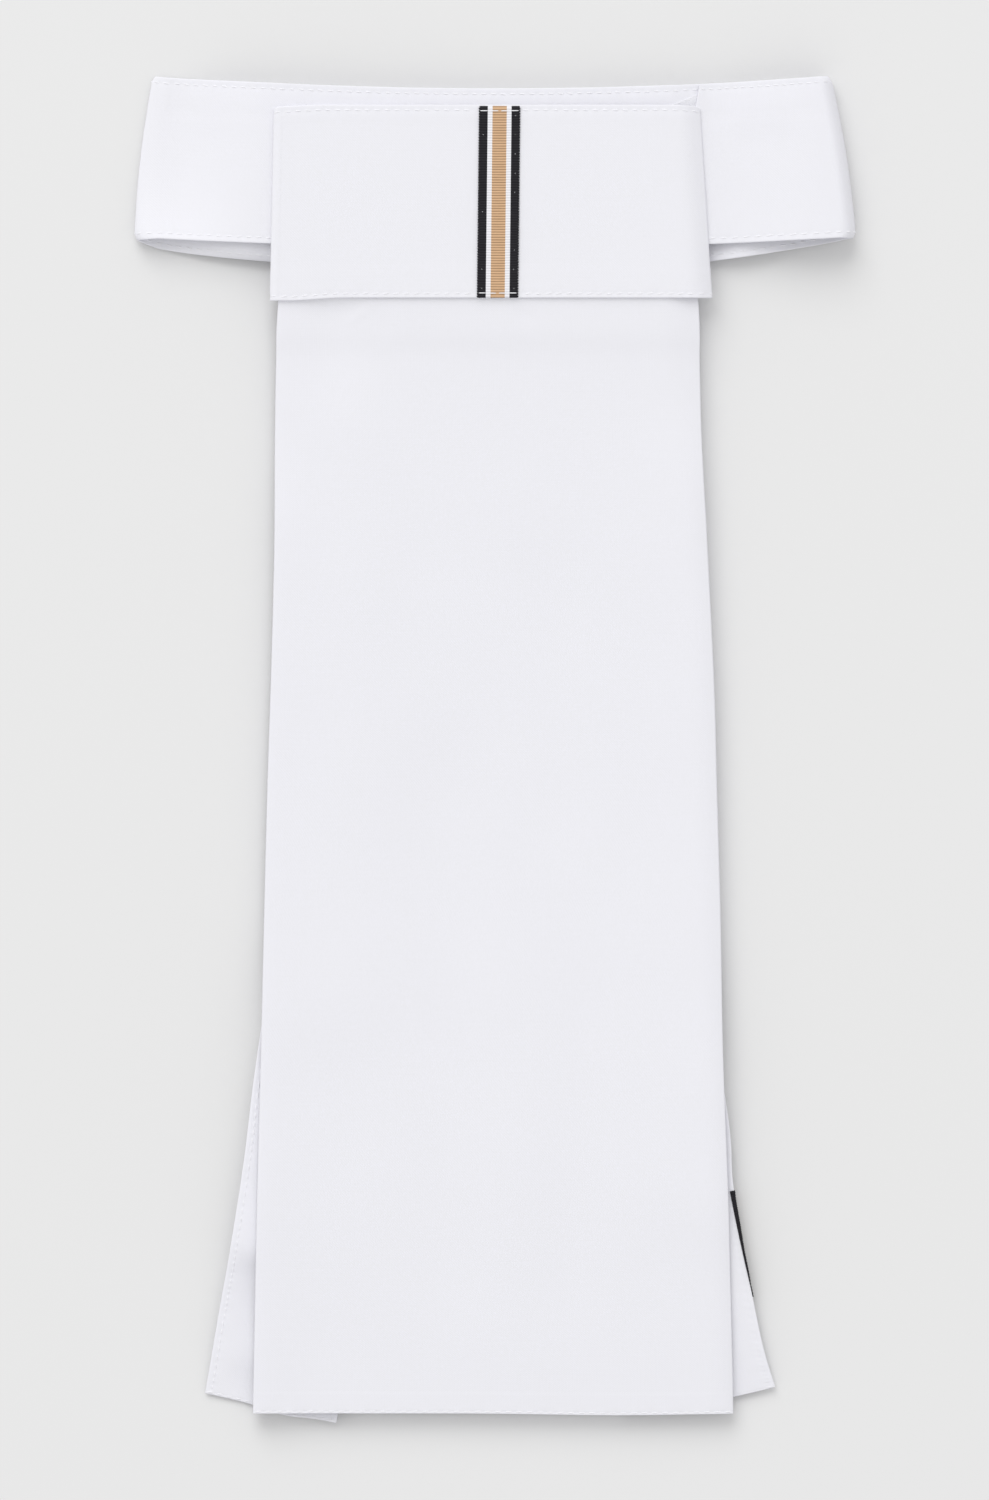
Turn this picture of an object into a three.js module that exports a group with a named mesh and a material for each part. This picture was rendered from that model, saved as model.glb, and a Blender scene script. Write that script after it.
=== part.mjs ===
// A pre-shaped cravat (stock tie) of white cotton, lying flat as it is stored or shown.
// Millimetres. +X is to the wearer's left as it lies face up, +Y points up to the neckband, +Z is away
// from the ground it lies on. The origin is on the ground, in the middle of the whole outline.
import * as THREE from "three";

// Driving dimensions: cloth
const CLOTH = 1.0; // a two-ply cotton layer with its interlining
const PANEL_CLOTH = 1.4; // the two folded plies of the front panel
const TRIM_CLOTH = 0.5; // woven ribbon
const GAP = 0.3; // air between two layers that touch
const NECK_ROOM = 4.7; // clear height inside the pressed neckband

// Heights of the layers where they lie on each other at the knot, each to the middle of its cloth
const BACK_LAYER = CLOTH / 2;
const LOWER_LAP = CLOTH + NECK_ROOM + CLOTH / 2;
const PATCH_LAYER = LOWER_LAP + CLOTH / 2 + GAP + TRIM_CLOTH / 2;
const UPPER_LAP = PATCH_LAYER + TRIM_CLOTH / 2 + GAP + CLOTH / 2;
const KNOT_BACK = UPPER_LAP + CLOTH + GAP;
const PANEL_TOP = KNOT_BACK + CLOTH / 2 + GAP + PANEL_CLOTH / 2;
const KNOT_FRONT = PANEL_TOP + PANEL_CLOTH / 2 + GAP + CLOTH / 2;
const RIBBON_LAYER = KNOT_FRONT + CLOTH / 2 + GAP + TRIM_CLOTH / 2;

// Driving dimensions: neckband, pressed flat, with its folds slanting because the strip is contoured
const BAND = {
  leftAtTop: 96.0,
  leftAtBottom: 101.1,
  rightAtTop: 94.1,
  rightAtBottom: 101.1,
  foldBulge: 0.9, // how far each fold bows out between its ends
  topMiddle: 185.0,
  topRise: 3.6, // the top edge rises this much from the middle to the folds
  bottomAtFold: 143.4,
  frontDip: 3.0, // the front's lower edge falls this much from the folds to the middle
  backDip: 10.4, // and the back's lower edge this much
  lowerEnd: 60.0, // where the left front ends, under the right front
  upperEndAtTop: 56.6, // where the right front ends
  upperEndAtBottom: 49.0,
  kneeOut: 86, // between these the front rises from the folds to the knot
  kneeIn: 63,
  lowered: 32, // by here the left front has come down again, under the knot
  curlLeft: 0.4, // how far the front's upper third stands up beside the knot
  curlRight: 0.9,
  curlFrom: 0.6, // of the width, up from the lower edge
  curlTo: 0.85,
};

// Driving dimensions: knot band, a pressed sleeve
const KNOT = {
  leftAtTop: -61.9,
  leftAtBottom: -63.0,
  rightAtTop: 57.4,
  rightAtBottom: 60.8,
  top: 181.0,
  bottom: 126.8,
};

// Ribbon down the knot band, and a short length of it folded round the right tail's outer edge
const KNOT_RIBBON = { width: 11.4, atTop: 1.3, atBottom: 0.7, inset: 0.6 };
const TAIL_RIBBON = { length: 30.0, start: -123.4, faceAtTop: 1.4, faceAtBottom: 0.4, behind: 8.0 };

// Fastening patch between the lapped ends of the neckband
const PATCH = { left: 44, right: 58.5, topLeft: 178.8, topRight: 184.9, bottom: 152 };

// Front panel: one row for each section, from its hidden top to its hem
const PANEL = [
  { y: 172.0, left: -57.0, right: 53.0, height: PANEL_TOP },
  { y: 124.0, left: -60.8, right: 56.6, height: PANEL_TOP },
  { y: 108.0, left: -61.3, right: 56.9, height: 9.8 },
  { y: 84.0, left: -61.6, right: 57.4, height: 8.0 },
  { y: 56.0, left: -61.8, right: 58.8, height: 6.0 },
  { y: 20.0, left: -62.7, right: 60.6, height: 4.6 },
  { y: -14.0, left: -63.8, right: 61.6, height: 4.0 },
  { y: -84.0, left: -65.5, right: 63.6, height: 3.8 },
  { y: -126.0, left: -66.6, right: 65.2, height: 3.7 },
  { y: -160.0, left: -67.3, right: 66.1, height: 3.6 },
  { y: -185.8, left: -67.8, right: 66.6, height: 3.5 },
];

// Its long soft folds, which run down it: where each one's middle is at its two ends, how high or deep it is
const PANEL_FOLDS = [
  { fromY: 118, fromX: -42, toY: -95, toX: -44, height: 0.7, width: 16 },
  { fromY: 15, fromX: -14, toY: -170, toX: -10, height: -0.7, width: 13 },
  { fromY: 75, fromX: 14, toY: -40, toX: 20, height: -0.5, width: 11 },
  { fromY: -50, fromX: 26, toY: -175, toX: 20, height: -0.4, width: 10 },
  { fromY: 100, fromX: 58, toY: -150, toX: 66, height: 0.8, width: 18 },
  { fromY: -40, fromX: -62, toY: -216, toX: -68, height: -0.8, width: 22 },
];
const FOLD_FADE = 30; // over this much of its length a fold comes and goes

// Tails: one row for each section, with both ends of its line across the strip, and the height of its middle
const LEFT_TAIL = [
  { leftX: -32.5, leftY: 136.0, rightX: 6.0, rightY: 136.0, height: UPPER_LAP - CLOTH - GAP },
  { leftX: -33.7, leftY: 128.0, rightX: 4.9, rightY: 127.0, height: UPPER_LAP - CLOTH - GAP },
  { leftX: -36.6, leftY: 109.0, rightX: 1.8, rightY: 106.0, height: 5.6 },
  { leftX: -40.3, leftY: 85.0, rightX: -2.1, rightY: 80.0, height: 2.5 },
  { leftX: -43.7, leftY: 63.0, rightX: -5.8, rightY: 57.2, height: 0.7 },
  { leftX: -46.8, leftY: 43.0, rightX: -9.0, rightY: 37.2, height: 0.5 },
  { leftX: -56.0, leftY: -17.0, rightX: -18.3, rightY: -22.8, height: 1.3 },
  { leftX: -66.4, leftY: -84.1, rightX: -28.8, rightY: -90.0, height: 0.6 },
  { leftX: -70.3, leftY: -114.9, rightX: -33.0, rightY: -121.0, height: 1.3 },
  { leftX: -74.2, leftY: -140.0, rightX: -36.8, rightY: -147.0, height: 0.5 },
  { leftX: -77.4, leftY: -158.0, rightX: -40.2, rightY: -166.0, height: 1.1 },
  { leftX: -81.2, leftY: -180.3, rightX: -44.5, rightY: -188.6, height: 0.5 },
];
const RIGHT_TAIL = [
  { leftX: -19.7, leftY: 136.0, rightX: 19.0, rightY: 136.0, height: UPPER_LAP },
  { leftX: -18.1, leftY: 127.0, rightX: 20.6, rightY: 128.0, height: UPPER_LAP },
  { leftX: -14.0, leftY: 106.0, rightX: 24.2, rightY: 109.0, height: 7.1 },
  { leftX: -9.0, leftY: 80.0, rightX: 28.9, rightY: 85.0, height: 4.3 },
  { leftX: -4.7, leftY: 57.2, rightX: 33.2, rightY: 63.0, height: 2.2 },
  { leftX: -0.7, leftY: 36.0, rightX: 37.1, rightY: 43.0, height: 0.7 },
  { leftX: 11.0, leftY: -24.2, rightX: 48.7, rightY: -17.0, height: 1.4 },
  { leftX: 26.7, leftY: -103.2, rightX: 64.2, rightY: -96.0, height: 0.5 },
  { leftX: 29.9, leftY: -128.0, rightX: 66.7, rightY: -121.6, height: 1.9 },
  { leftX: 33.2, leftY: -144.5, rightX: 70.0, rightY: -142.0, height: 1.9 },
  { leftX: 37.0, leftY: -166.5, rightX: 74.8, rightY: -166.0, height: 0.6 },
  { leftX: 41.5, leftY: -187.6, rightX: 78.5, rightY: -178.5, height: 0.5 },
];

// Mesh steps
const ROW_STEPS = 4; // between two rows of a table
const ACROSS_STEPS = 6;
const FOLD_STEPS = 8;
const SLOPE_STEP = 1e-4; // of a strip's length or width, to find which way it faces
const HALVINGS = 40; // to find where a tail reaches a given y

// Finishes
const COTTON = { color: 0xeeedf2, roughness: 0.85, metalness: 0 };
const TRIM = { color: 0xb89a78, roughness: 0.75, metalness: 0 };
const PATCH_CLOTH = { color: 0xdcdbe2, roughness: 0.95, metalness: 0 };

const mix = THREE.MathUtils.lerp;
const ease = (x, from, to) => THREE.MathUtils.smoothstep(x, from, to);

// A value of a table's column between its rows, on a smooth curve through them
function along(rows, column, s) {
  const place = THREE.MathUtils.clamp(s, 0, 1) * (rows.length - 1);
  const row = Math.min(Math.floor(place), rows.length - 2);
  const value = (i) => rows[THREE.MathUtils.clamp(i, 0, rows.length - 1)][column];
  const slope = (i) => (value(i + 1) - value(i - 1)) / 2;
  const t = place - row;
  const before = value(row);
  const after = value(row + 1);
  return (
    before * (2 * t ** 3 - 3 * t ** 2 + 1) +
    slope(row) * (t ** 3 - 2 * t ** 2 + t) +
    after * (3 * t ** 2 - 2 * t ** 3) +
    slope(row + 1) * (t ** 3 - t ** 2)
  );
}

// A strip of cloth as one closed body. at(s, t) is the middle of the cloth, with s from 0 to 1 along the
// strip and t from 0 to 1 across it, so that s cross t points out. Its two long edges are rounded.
// A ring strip joins its end to its start.
function clothStrip({ name, at, alongSteps, acrossSteps, thickness, finish, ring = false }) {
  const half = thickness / 2;
  const rows = ring ? alongSteps : alongSteps + 1;
  const positions = [];
  const ringSize = 2 * (acrossSteps + 1) + 2;
  for (let i = 0; i < rows; i++) {
    const s = i / alongSteps;
    const before = ring ? s - SLOPE_STEP : Math.max(s - SLOPE_STEP, 0);
    const after = ring ? s + SLOPE_STEP : Math.min(s + SLOPE_STEP, 1);
    const top = [];
    const bottom = [];
    for (let j = 0; j <= acrossSteps; j++) {
      const t = j / acrossSteps;
      const forward = at(after, t).sub(at(before, t)).normalize();
      const sideways = at(s, Math.min(t + SLOPE_STEP, 1))
        .sub(at(s, Math.max(t - SLOPE_STEP, 0)))
        .normalize();
      const out = forward.clone().cross(sideways).normalize();
      const inset = j === 0 ? half : j === acrossSteps ? -half : 0;
      const middle = at(s, t).addScaledVector(sideways, inset);
      top.push(middle.clone().addScaledVector(out, half));
      bottom.push(middle.clone().addScaledVector(out, -half));
    }
    const section = [...top, at(s, 1), ...bottom.reverse(), at(s, 0)];
    section.forEach((p) => positions.push(p.x, p.y, p.z));
  }
  const index = [];
  const corner = (i, k) => (i % rows) * ringSize + (k % ringSize);
  for (let i = 0; i < alongSteps; i++) {
    for (let k = 0; k < ringSize; k++) {
      index.push(corner(i, k), corner(i + 1, k), corner(i + 1, k + 1));
      index.push(corner(i, k), corner(i + 1, k + 1), corner(i, k + 1));
    }
  }
  if (!ring) {
    addCap(index, 0, acrossSteps, ringSize, false);
    addCap(index, alongSteps * ringSize, acrossSteps, ringSize, true);
  }
  const geometry = new THREE.BufferGeometry();
  geometry.setAttribute("position", new THREE.Float32BufferAttribute(positions, 3));
  geometry.setIndex(index);
  geometry.computeVertexNormals();
  const mesh = new THREE.Mesh(geometry, new THREE.MeshStandardMaterial(finish));
  mesh.name = name;
  return mesh;
}

// The flat end of a strip: its top and bottom edges are zipped together, with a triangle at each rounded edge
function addCap(index, start, acrossSteps, ringSize, isFarEnd) {
  const top = (j) => start + j;
  const bottom = (j) => start + ringSize - 2 - j;
  const highEdge = start + acrossSteps + 1;
  const lowEdge = start + ringSize - 1;
  const faces = [
    [top(0), bottom(0), lowEdge],
    [top(acrossSteps), highEdge, bottom(acrossSteps)],
  ];
  for (let j = 0; j < acrossSteps; j++) {
    faces.push([top(j), top(j + 1), bottom(j + 1)], [top(j), bottom(j + 1), bottom(j)]);
  }
  faces.forEach(([a, b, c]) => index.push(...(isFarEnd ? [a, c, b] : [a, b, c])));
}

// Half the pressed neckband's width at t, from 0 at its lower edge to 1 at its top edge
function bandReach(side, t) {
  const straight =
    side < 0 ? mix(BAND.leftAtBottom, BAND.leftAtTop, t) : mix(BAND.rightAtBottom, BAND.rightAtTop, t);
  return straight + BAND.foldBulge * Math.sin(Math.PI * t);
}

// Height of the neckband's front: low at the folds, up at the knot, and on the left down again to its lapped end
function frontHeight(x, isLower) {
  const risen = mix(LOWER_LAP, UPPER_LAP, 1 - ease(Math.abs(x), BAND.kneeIn, BAND.kneeOut));
  if (!isLower || x < -BAND.kneeIn) return risen;
  return mix(UPPER_LAP, LOWER_LAP, ease(x, -BAND.kneeIn, BAND.lowered));
}

// Beside the knot the upper third of the neckband's front stands up a little
function frontCurl(x, t) {
  const most = x < 0 ? BAND.curlLeft : BAND.curlRight;
  const beside = ease(Math.abs(x), BAND.kneeIn, BAND.kneeIn + 8) * (1 - ease(Math.abs(x), BAND.kneeOut, 96));
  return most * beside * ease(t, BAND.curlFrom, BAND.curlTo);
}

// The neckband is one strip: right front, right fold, back, left fold, left front
function neckband() {
  const radius = (LOWER_LAP - BACK_LAYER) / 2;
  const foldMiddle = (LOWER_LAP + BACK_LAYER) / 2;
  const legs = [
    { name: "rightFront", steps: 8 },
    { name: "rightFold", steps: FOLD_STEPS },
    { name: "back", steps: 14 },
    { name: "leftFold", steps: FOLD_STEPS },
    { name: "leftFront", steps: 24 },
  ];
  const alongSteps = legs.reduce((sum, leg) => sum + leg.steps, 0);
  const at = (s, t) => {
    let place = s * alongSteps;
    let leg = 0;
    while (leg < legs.length - 1 && place > legs[leg].steps) {
      place -= legs[leg].steps;
      leg += 1;
    }
    const p = place / legs[leg].steps;
    const right = bandReach(1, t) - radius - CLOTH / 2;
    const left = bandReach(-1, t) - radius - CLOTH / 2;
    let x;
    let z;
    let isBack = false;
    if (legs[leg].name === "rightFront") {
      x = mix(mix(BAND.upperEndAtBottom, BAND.upperEndAtTop, t), right, p);
      z = frontHeight(x, false);
    } else if (legs[leg].name === "rightFold") {
      x = right + radius * Math.sin(Math.PI * p);
      z = foldMiddle + radius * Math.cos(Math.PI * p);
      isBack = p > 0.5;
    } else if (legs[leg].name === "back") {
      x = mix(right, -left, p);
      z = BACK_LAYER;
      isBack = true;
    } else if (legs[leg].name === "leftFold") {
      x = -left - radius * Math.sin(Math.PI * p);
      z = foldMiddle - radius * Math.cos(Math.PI * p);
      isBack = p < 0.5;
    } else {
      x = mix(-left, BAND.lowerEnd, p);
      z = frontHeight(x, true);
    }
    const reach = Math.min(Math.abs(x) / BAND.leftAtBottom, 1);
    const dip = isBack ? BAND.backDip : BAND.frontDip;
    const bottom = BAND.bottomAtFold - dip * (1 - reach ** 2);
    const top = BAND.topMiddle + BAND.topRise * (x / BAND.leftAtTop) ** 2;
    const curl = isBack ? 0 : frontCurl(x, t);
    return new THREE.Vector3(x, mix(bottom, top, t), z + curl);
  };
  return clothStrip({ name: "neckband", at, alongSteps, acrossSteps: 8, thickness: CLOTH, finish: COTTON });
}

// The knot band is a ring strip: front, right fold, back, left fold
function knotBand() {
  const radius = (KNOT_FRONT - KNOT_BACK) / 2;
  const middle = (KNOT_FRONT + KNOT_BACK) / 2;
  const wallSteps = 12;
  const alongSteps = 2 * (wallSteps + FOLD_STEPS);
  const at = (s, t) => {
    const around = THREE.MathUtils.euclideanModulo(s, 1) * alongSteps;
    const half = wallSteps + FOLD_STEPS;
    const isBack = around >= half;
    const place = isBack ? around - half : around;
    const left = mix(KNOT.leftAtBottom, KNOT.leftAtTop, t) + CLOTH / 2 + radius;
    const right = mix(KNOT.rightAtBottom, KNOT.rightAtTop, t) - CLOTH / 2 - radius;
    const [from, to, sign] = isBack ? [right, left, -1] : [left, right, 1];
    const y = mix(KNOT.bottom, KNOT.top, t);
    if (place <= wallSteps) {
      return new THREE.Vector3(mix(from, to, place / wallSteps), y, middle + sign * radius);
    }
    const turn = (Math.PI * (place - wallSteps)) / FOLD_STEPS;
    return new THREE.Vector3(to + sign * radius * Math.sin(turn), y, middle + sign * radius * Math.cos(turn));
  };
  return clothStrip({
    name: "knot_band",
    at,
    alongSteps,
    acrossSteps: ACROSS_STEPS,
    thickness: CLOTH,
    finish: COTTON,
    ring: true,
  });
}

// How high the panel's long folds stand at a point of it
function foldHeight(x, y) {
  return PANEL_FOLDS.reduce((sum, fold) => {
    const down = (fold.fromY - y) / (fold.fromY - fold.toY);
    const middle = mix(fold.fromX, fold.toX, THREE.MathUtils.clamp(down, 0, 1));
    const present = ease(y, fold.toY, fold.toY + FOLD_FADE) * (1 - ease(y, fold.fromY - FOLD_FADE, fold.fromY));
    return sum + fold.height * present * Math.exp(-(((x - middle) / fold.width) ** 2));
  }, 0);
}

// The front panel hangs out of the sleeve and comes down to lie over the tails
function frontPanel() {
  const at = (s, t) => {
    const x = mix(along(PANEL, "left", s), along(PANEL, "right", s), t);
    const y = along(PANEL, "y", s);
    return new THREE.Vector3(x, y, along(PANEL, "height", s) + foldHeight(x, y));
  };
  return clothStrip({
    name: "front_panel",
    at,
    alongSteps: (PANEL.length - 1) * ROW_STEPS,
    acrossSteps: 2 * ACROSS_STEPS,
    thickness: PANEL_CLOTH,
    finish: COTTON,
  });
}

// A tail follows its table from the seam behind the knot down to its own hem
function tail(name, rows) {
  const at = (s, t) =>
    new THREE.Vector3(
      mix(along(rows, "leftX", s), along(rows, "rightX", s), t),
      mix(along(rows, "leftY", s), along(rows, "rightY", s), t),
      along(rows, "height", s),
    );
  return clothStrip({
    name,
    at,
    alongSteps: (rows.length - 1) * ROW_STEPS,
    acrossSteps: ACROSS_STEPS,
    thickness: CLOTH,
    finish: COTTON,
  });
}

// The ribbon down the middle of the knot band, a little off upright
function knotRibbon() {
  const at = (s, t) =>
    new THREE.Vector3(
      mix(KNOT_RIBBON.atBottom, KNOT_RIBBON.atTop, 1 - s) + (t - 0.5) * KNOT_RIBBON.width,
      mix(KNOT.top - KNOT_RIBBON.inset, KNOT.bottom + KNOT_RIBBON.inset, s),
      RIBBON_LAYER,
    );
  return clothStrip({
    name: "knot_ribbon",
    at,
    alongSteps: 4,
    acrossSteps: 2,
    thickness: TRIM_CLOTH,
    finish: TRIM,
  });
}

// The ribbon on the right tail is folded round its outer edge: a narrow wedge of it shows on the face,
// and the rest lies behind
function tailRibbon() {
  const rows = RIGHT_TAIL;
  const placeAtEdge = (y) => {
    let low = 0;
    let high = 1;
    for (let i = 0; i < HALVINGS; i++) {
      const middle = (low + high) / 2;
      if (along(rows, "rightY", middle) > y) low = middle;
      else high = middle;
    }
    return low;
  };
  const start = placeAtEdge(TAIL_RIBBON.start);
  const end = placeAtEdge(TAIL_RIBBON.start - TAIL_RIBBON.length);
  const radius = CLOTH / 2 + GAP + TRIM_CLOTH / 2;
  const faceSteps = 1;
  const turnSteps = 6;
  const behindSteps = 2;
  const acrossSteps = faceSteps + turnSteps + behindSteps;
  const at = (s, t) => {
    const place = mix(start, end, s);
    const edge = new THREE.Vector2(along(rows, "rightX", place), along(rows, "rightY", place));
    const inner = new THREE.Vector2(along(rows, "leftX", place), along(rows, "leftY", place));
    const outward = edge.clone().sub(inner).normalize();
    const height = along(rows, "height", place);
    const step = t * acrossSteps;
    const turn = THREE.MathUtils.clamp((step - faceSteps) / turnSteps, 0, 1) * Math.PI;
    const onFace = Math.max(faceSteps - step, 0) * mix(TAIL_RIBBON.faceAtTop, TAIL_RIBBON.faceAtBottom, s);
    const past = Math.max(step - faceSteps - turnSteps, 0) / behindSteps;
    const out = radius * Math.sin(turn) - CLOTH / 2 - onFace - past * TAIL_RIBBON.behind;
    const point = edge.addScaledVector(outward, out);
    return new THREE.Vector3(point.x, point.y, height + radius * Math.cos(turn));
  };
  return clothStrip({
    name: "tail_ribbon",
    at,
    alongSteps: 6,
    acrossSteps,
    thickness: TRIM_CLOTH,
    finish: TRIM,
  });
}

// The patch lies between the two ends of the neckband, its upper edge slanting
function closurePatch() {
  const at = (s, t) => {
    const x = mix(PATCH.left, PATCH.right, t);
    const top = mix(PATCH.topLeft, PATCH.topRight, t);
    return new THREE.Vector3(x, mix(top, PATCH.bottom, s), PATCH_LAYER);
  };
  return clothStrip({
    name: "closure_patch",
    at,
    alongSteps: 2,
    acrossSteps: 2,
    thickness: TRIM_CLOTH,
    finish: PATCH_CLOTH,
  });
}

const cravat = new THREE.Group();
cravat.add(
  neckband(),
  closurePatch(),
  knotBand(),
  knotRibbon(),
  frontPanel(),
  tail("tail_left", LEFT_TAIL),
  tail("tail_right", RIGHT_TAIL),
  tailRibbon(),
);

export default cravat;
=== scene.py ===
# %% [markdown]
# # A white cotton cravat, lying flat
# A pre-shaped cravat, or stock tie, is a short contoured neckband, a wide folded band that stands for the
# knot, a long front panel that comes out from under it, and two narrower tails behind. A packed CAD model
# already holds each piece at its real size, so this notebook only makes the cloth that is seen: soft
# edges, rows of stitches, ribs and weave, each in the place of its solid.

# %% Load the packed model as the frame
import math

import bpy
import numpy as np
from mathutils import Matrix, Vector


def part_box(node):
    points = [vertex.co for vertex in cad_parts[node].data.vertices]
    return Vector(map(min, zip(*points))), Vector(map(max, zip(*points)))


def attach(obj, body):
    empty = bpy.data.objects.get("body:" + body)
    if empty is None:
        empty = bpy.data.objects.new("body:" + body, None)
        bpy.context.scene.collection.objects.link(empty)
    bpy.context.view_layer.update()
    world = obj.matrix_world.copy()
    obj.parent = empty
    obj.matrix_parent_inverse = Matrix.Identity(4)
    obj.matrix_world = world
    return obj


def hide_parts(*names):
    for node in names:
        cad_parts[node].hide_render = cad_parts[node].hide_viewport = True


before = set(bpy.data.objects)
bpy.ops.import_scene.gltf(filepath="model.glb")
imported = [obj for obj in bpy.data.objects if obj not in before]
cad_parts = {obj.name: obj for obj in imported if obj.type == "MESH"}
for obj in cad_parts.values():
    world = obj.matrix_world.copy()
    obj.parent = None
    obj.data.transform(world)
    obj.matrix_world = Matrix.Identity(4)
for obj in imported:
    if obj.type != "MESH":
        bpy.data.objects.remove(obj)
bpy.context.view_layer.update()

MM = 0.001
print("nodes:", ", ".join(sorted(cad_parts)))

# %% [markdown]
# ## Camera
# The cravat is seen from straight above, from so far away that nothing looks slanted. A long lens does
# that. An orthographic camera would too, but a long lens is what a photographer has. A view of 420 mm from
# top to bottom follows from the neckband, which is 202 mm wide and takes 722 of the picture's 989 columns.

# %% Camera straight above
PICTURE_HEIGHT = 1500
MM_PER_PIXEL = 0.28
LENS = 340
SENSOR = 36
FOCUS_HEIGHT = 4.0
CENTRE = (-0.14, -0.14)

scene = bpy.context.scene
view_height = PICTURE_HEIGHT * MM_PER_PIXEL
camera_data = bpy.data.cameras.new("camera")
camera_data.lens = LENS
camera_data.sensor_width = SENSOR
camera = bpy.data.objects.new("camera", camera_data)
camera_height = FOCUS_HEIGHT + view_height * LENS / SENSOR
camera.location = Vector((CENTRE[0], CENTRE[1], camera_height)) * MM
scene.collection.objects.link(camera)
scene.camera = camera
scene.view_settings.view_transform = "Standard"
print("camera is", round(camera_height), "mm up and sees", view_height, "mm")

# %% [markdown]
# ## Floor and light
# White cloth on a pale ground needs a very soft light, or it loses its form. Round a real table that takes
# white walls on all sides and one big lamp. Here three quarters of the light on the floor comes evenly
# from all round. The rest comes from one large disk, which stands mostly above the top of the picture and
# a little to the left, so far off that its light hardly fades from the neckband to the hem.

# %% Floor, even light and one large soft lamp
FLOOR_TONE = (0.8, 0.8, 0.8)
FLOOR_DROP = 0.3
FLOOR_REACH = 4.0
EVEN_LIGHT = 0.75
LAMP_PLACE = (-2.0, 6.6, 5.9)
LAMP_SIZE = 7.4
LAMP_POWER = 395


def floor_mesh(half_side, height):
    mesh = bpy.data.meshes.new("floor")
    corners = [(-1, -1), (1, -1), (1, 1), (-1, 1)]
    mesh.from_pydata([(x * half_side, y * half_side, height) for x, y in corners], [], [(0, 1, 2, 3)])
    return mesh


floor = bpy.data.objects.new("floor", floor_mesh(FLOOR_REACH, -FLOOR_DROP * MM))
scene.collection.objects.link(floor)

world = bpy.data.worlds.new("even_light")
world.use_nodes = True
world.node_tree.nodes["Background"].inputs["Color"].default_value = (1, 1, 1, 1)
world.node_tree.nodes["Background"].inputs["Strength"].default_value = EVEN_LIGHT
scene.world = world

lamp_data = bpy.data.lights.new("lamp", "AREA")
lamp_data.shape = "DISK"
lamp_data.size = LAMP_SIZE
lamp_data.energy = LAMP_POWER
lamp = bpy.data.objects.new("lamp", lamp_data)
lamp.location = LAMP_PLACE
lamp.rotation_mode = "QUATERNION"
lamp.rotation_quaternion = Vector(LAMP_PLACE).to_track_quat("Z", "Y")
scene.collection.objects.link(lamp)
spread = 2 * math.degrees(math.atan(LAMP_SIZE / 2 / Vector(LAMP_PLACE).length))
print("lamp spreads over", round(spread), "degrees")

# %% [markdown]
# ## Shader maths
# A material is a small program made of nodes. Written as nodes one by one, even a simple formula is hard
# to read, so a `Wire` wraps a socket and turns ordinary sums into Math nodes. A `Recipe` holds one
# material and has a single method for every other node.

# %% Wires
class Wire:
    """An output socket, with the sums that the recipes below use."""

    def __init__(self, recipe, socket):
        self.recipe = recipe
        self.socket = socket

    def sum(self, operation, first, second=None):
        values = {0: first} if second is None else {0: first, 1: second}
        return self.recipe.node("ShaderNodeMath", {"operation": operation}, values)

    def __add__(self, other):
        return self.sum("ADD", self, other)

    def __sub__(self, other):
        return self.sum("SUBTRACT", self, other)

    def __rsub__(self, other):
        return self.sum("SUBTRACT", other, self)

    def __mul__(self, other):
        return self.sum("MULTIPLY", self, other)

    def sine(self):
        return self.sum("SINE", self)

    def cosine(self):
        return self.sum("COSINE", self)

    def size(self):
        return self.sum("ABSOLUTE", self)

    __radd__ = __add__
    __rmul__ = __mul__


print("a wire knows", ", ".join(name for name in vars(Wire) if not name.startswith("_")))

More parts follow.
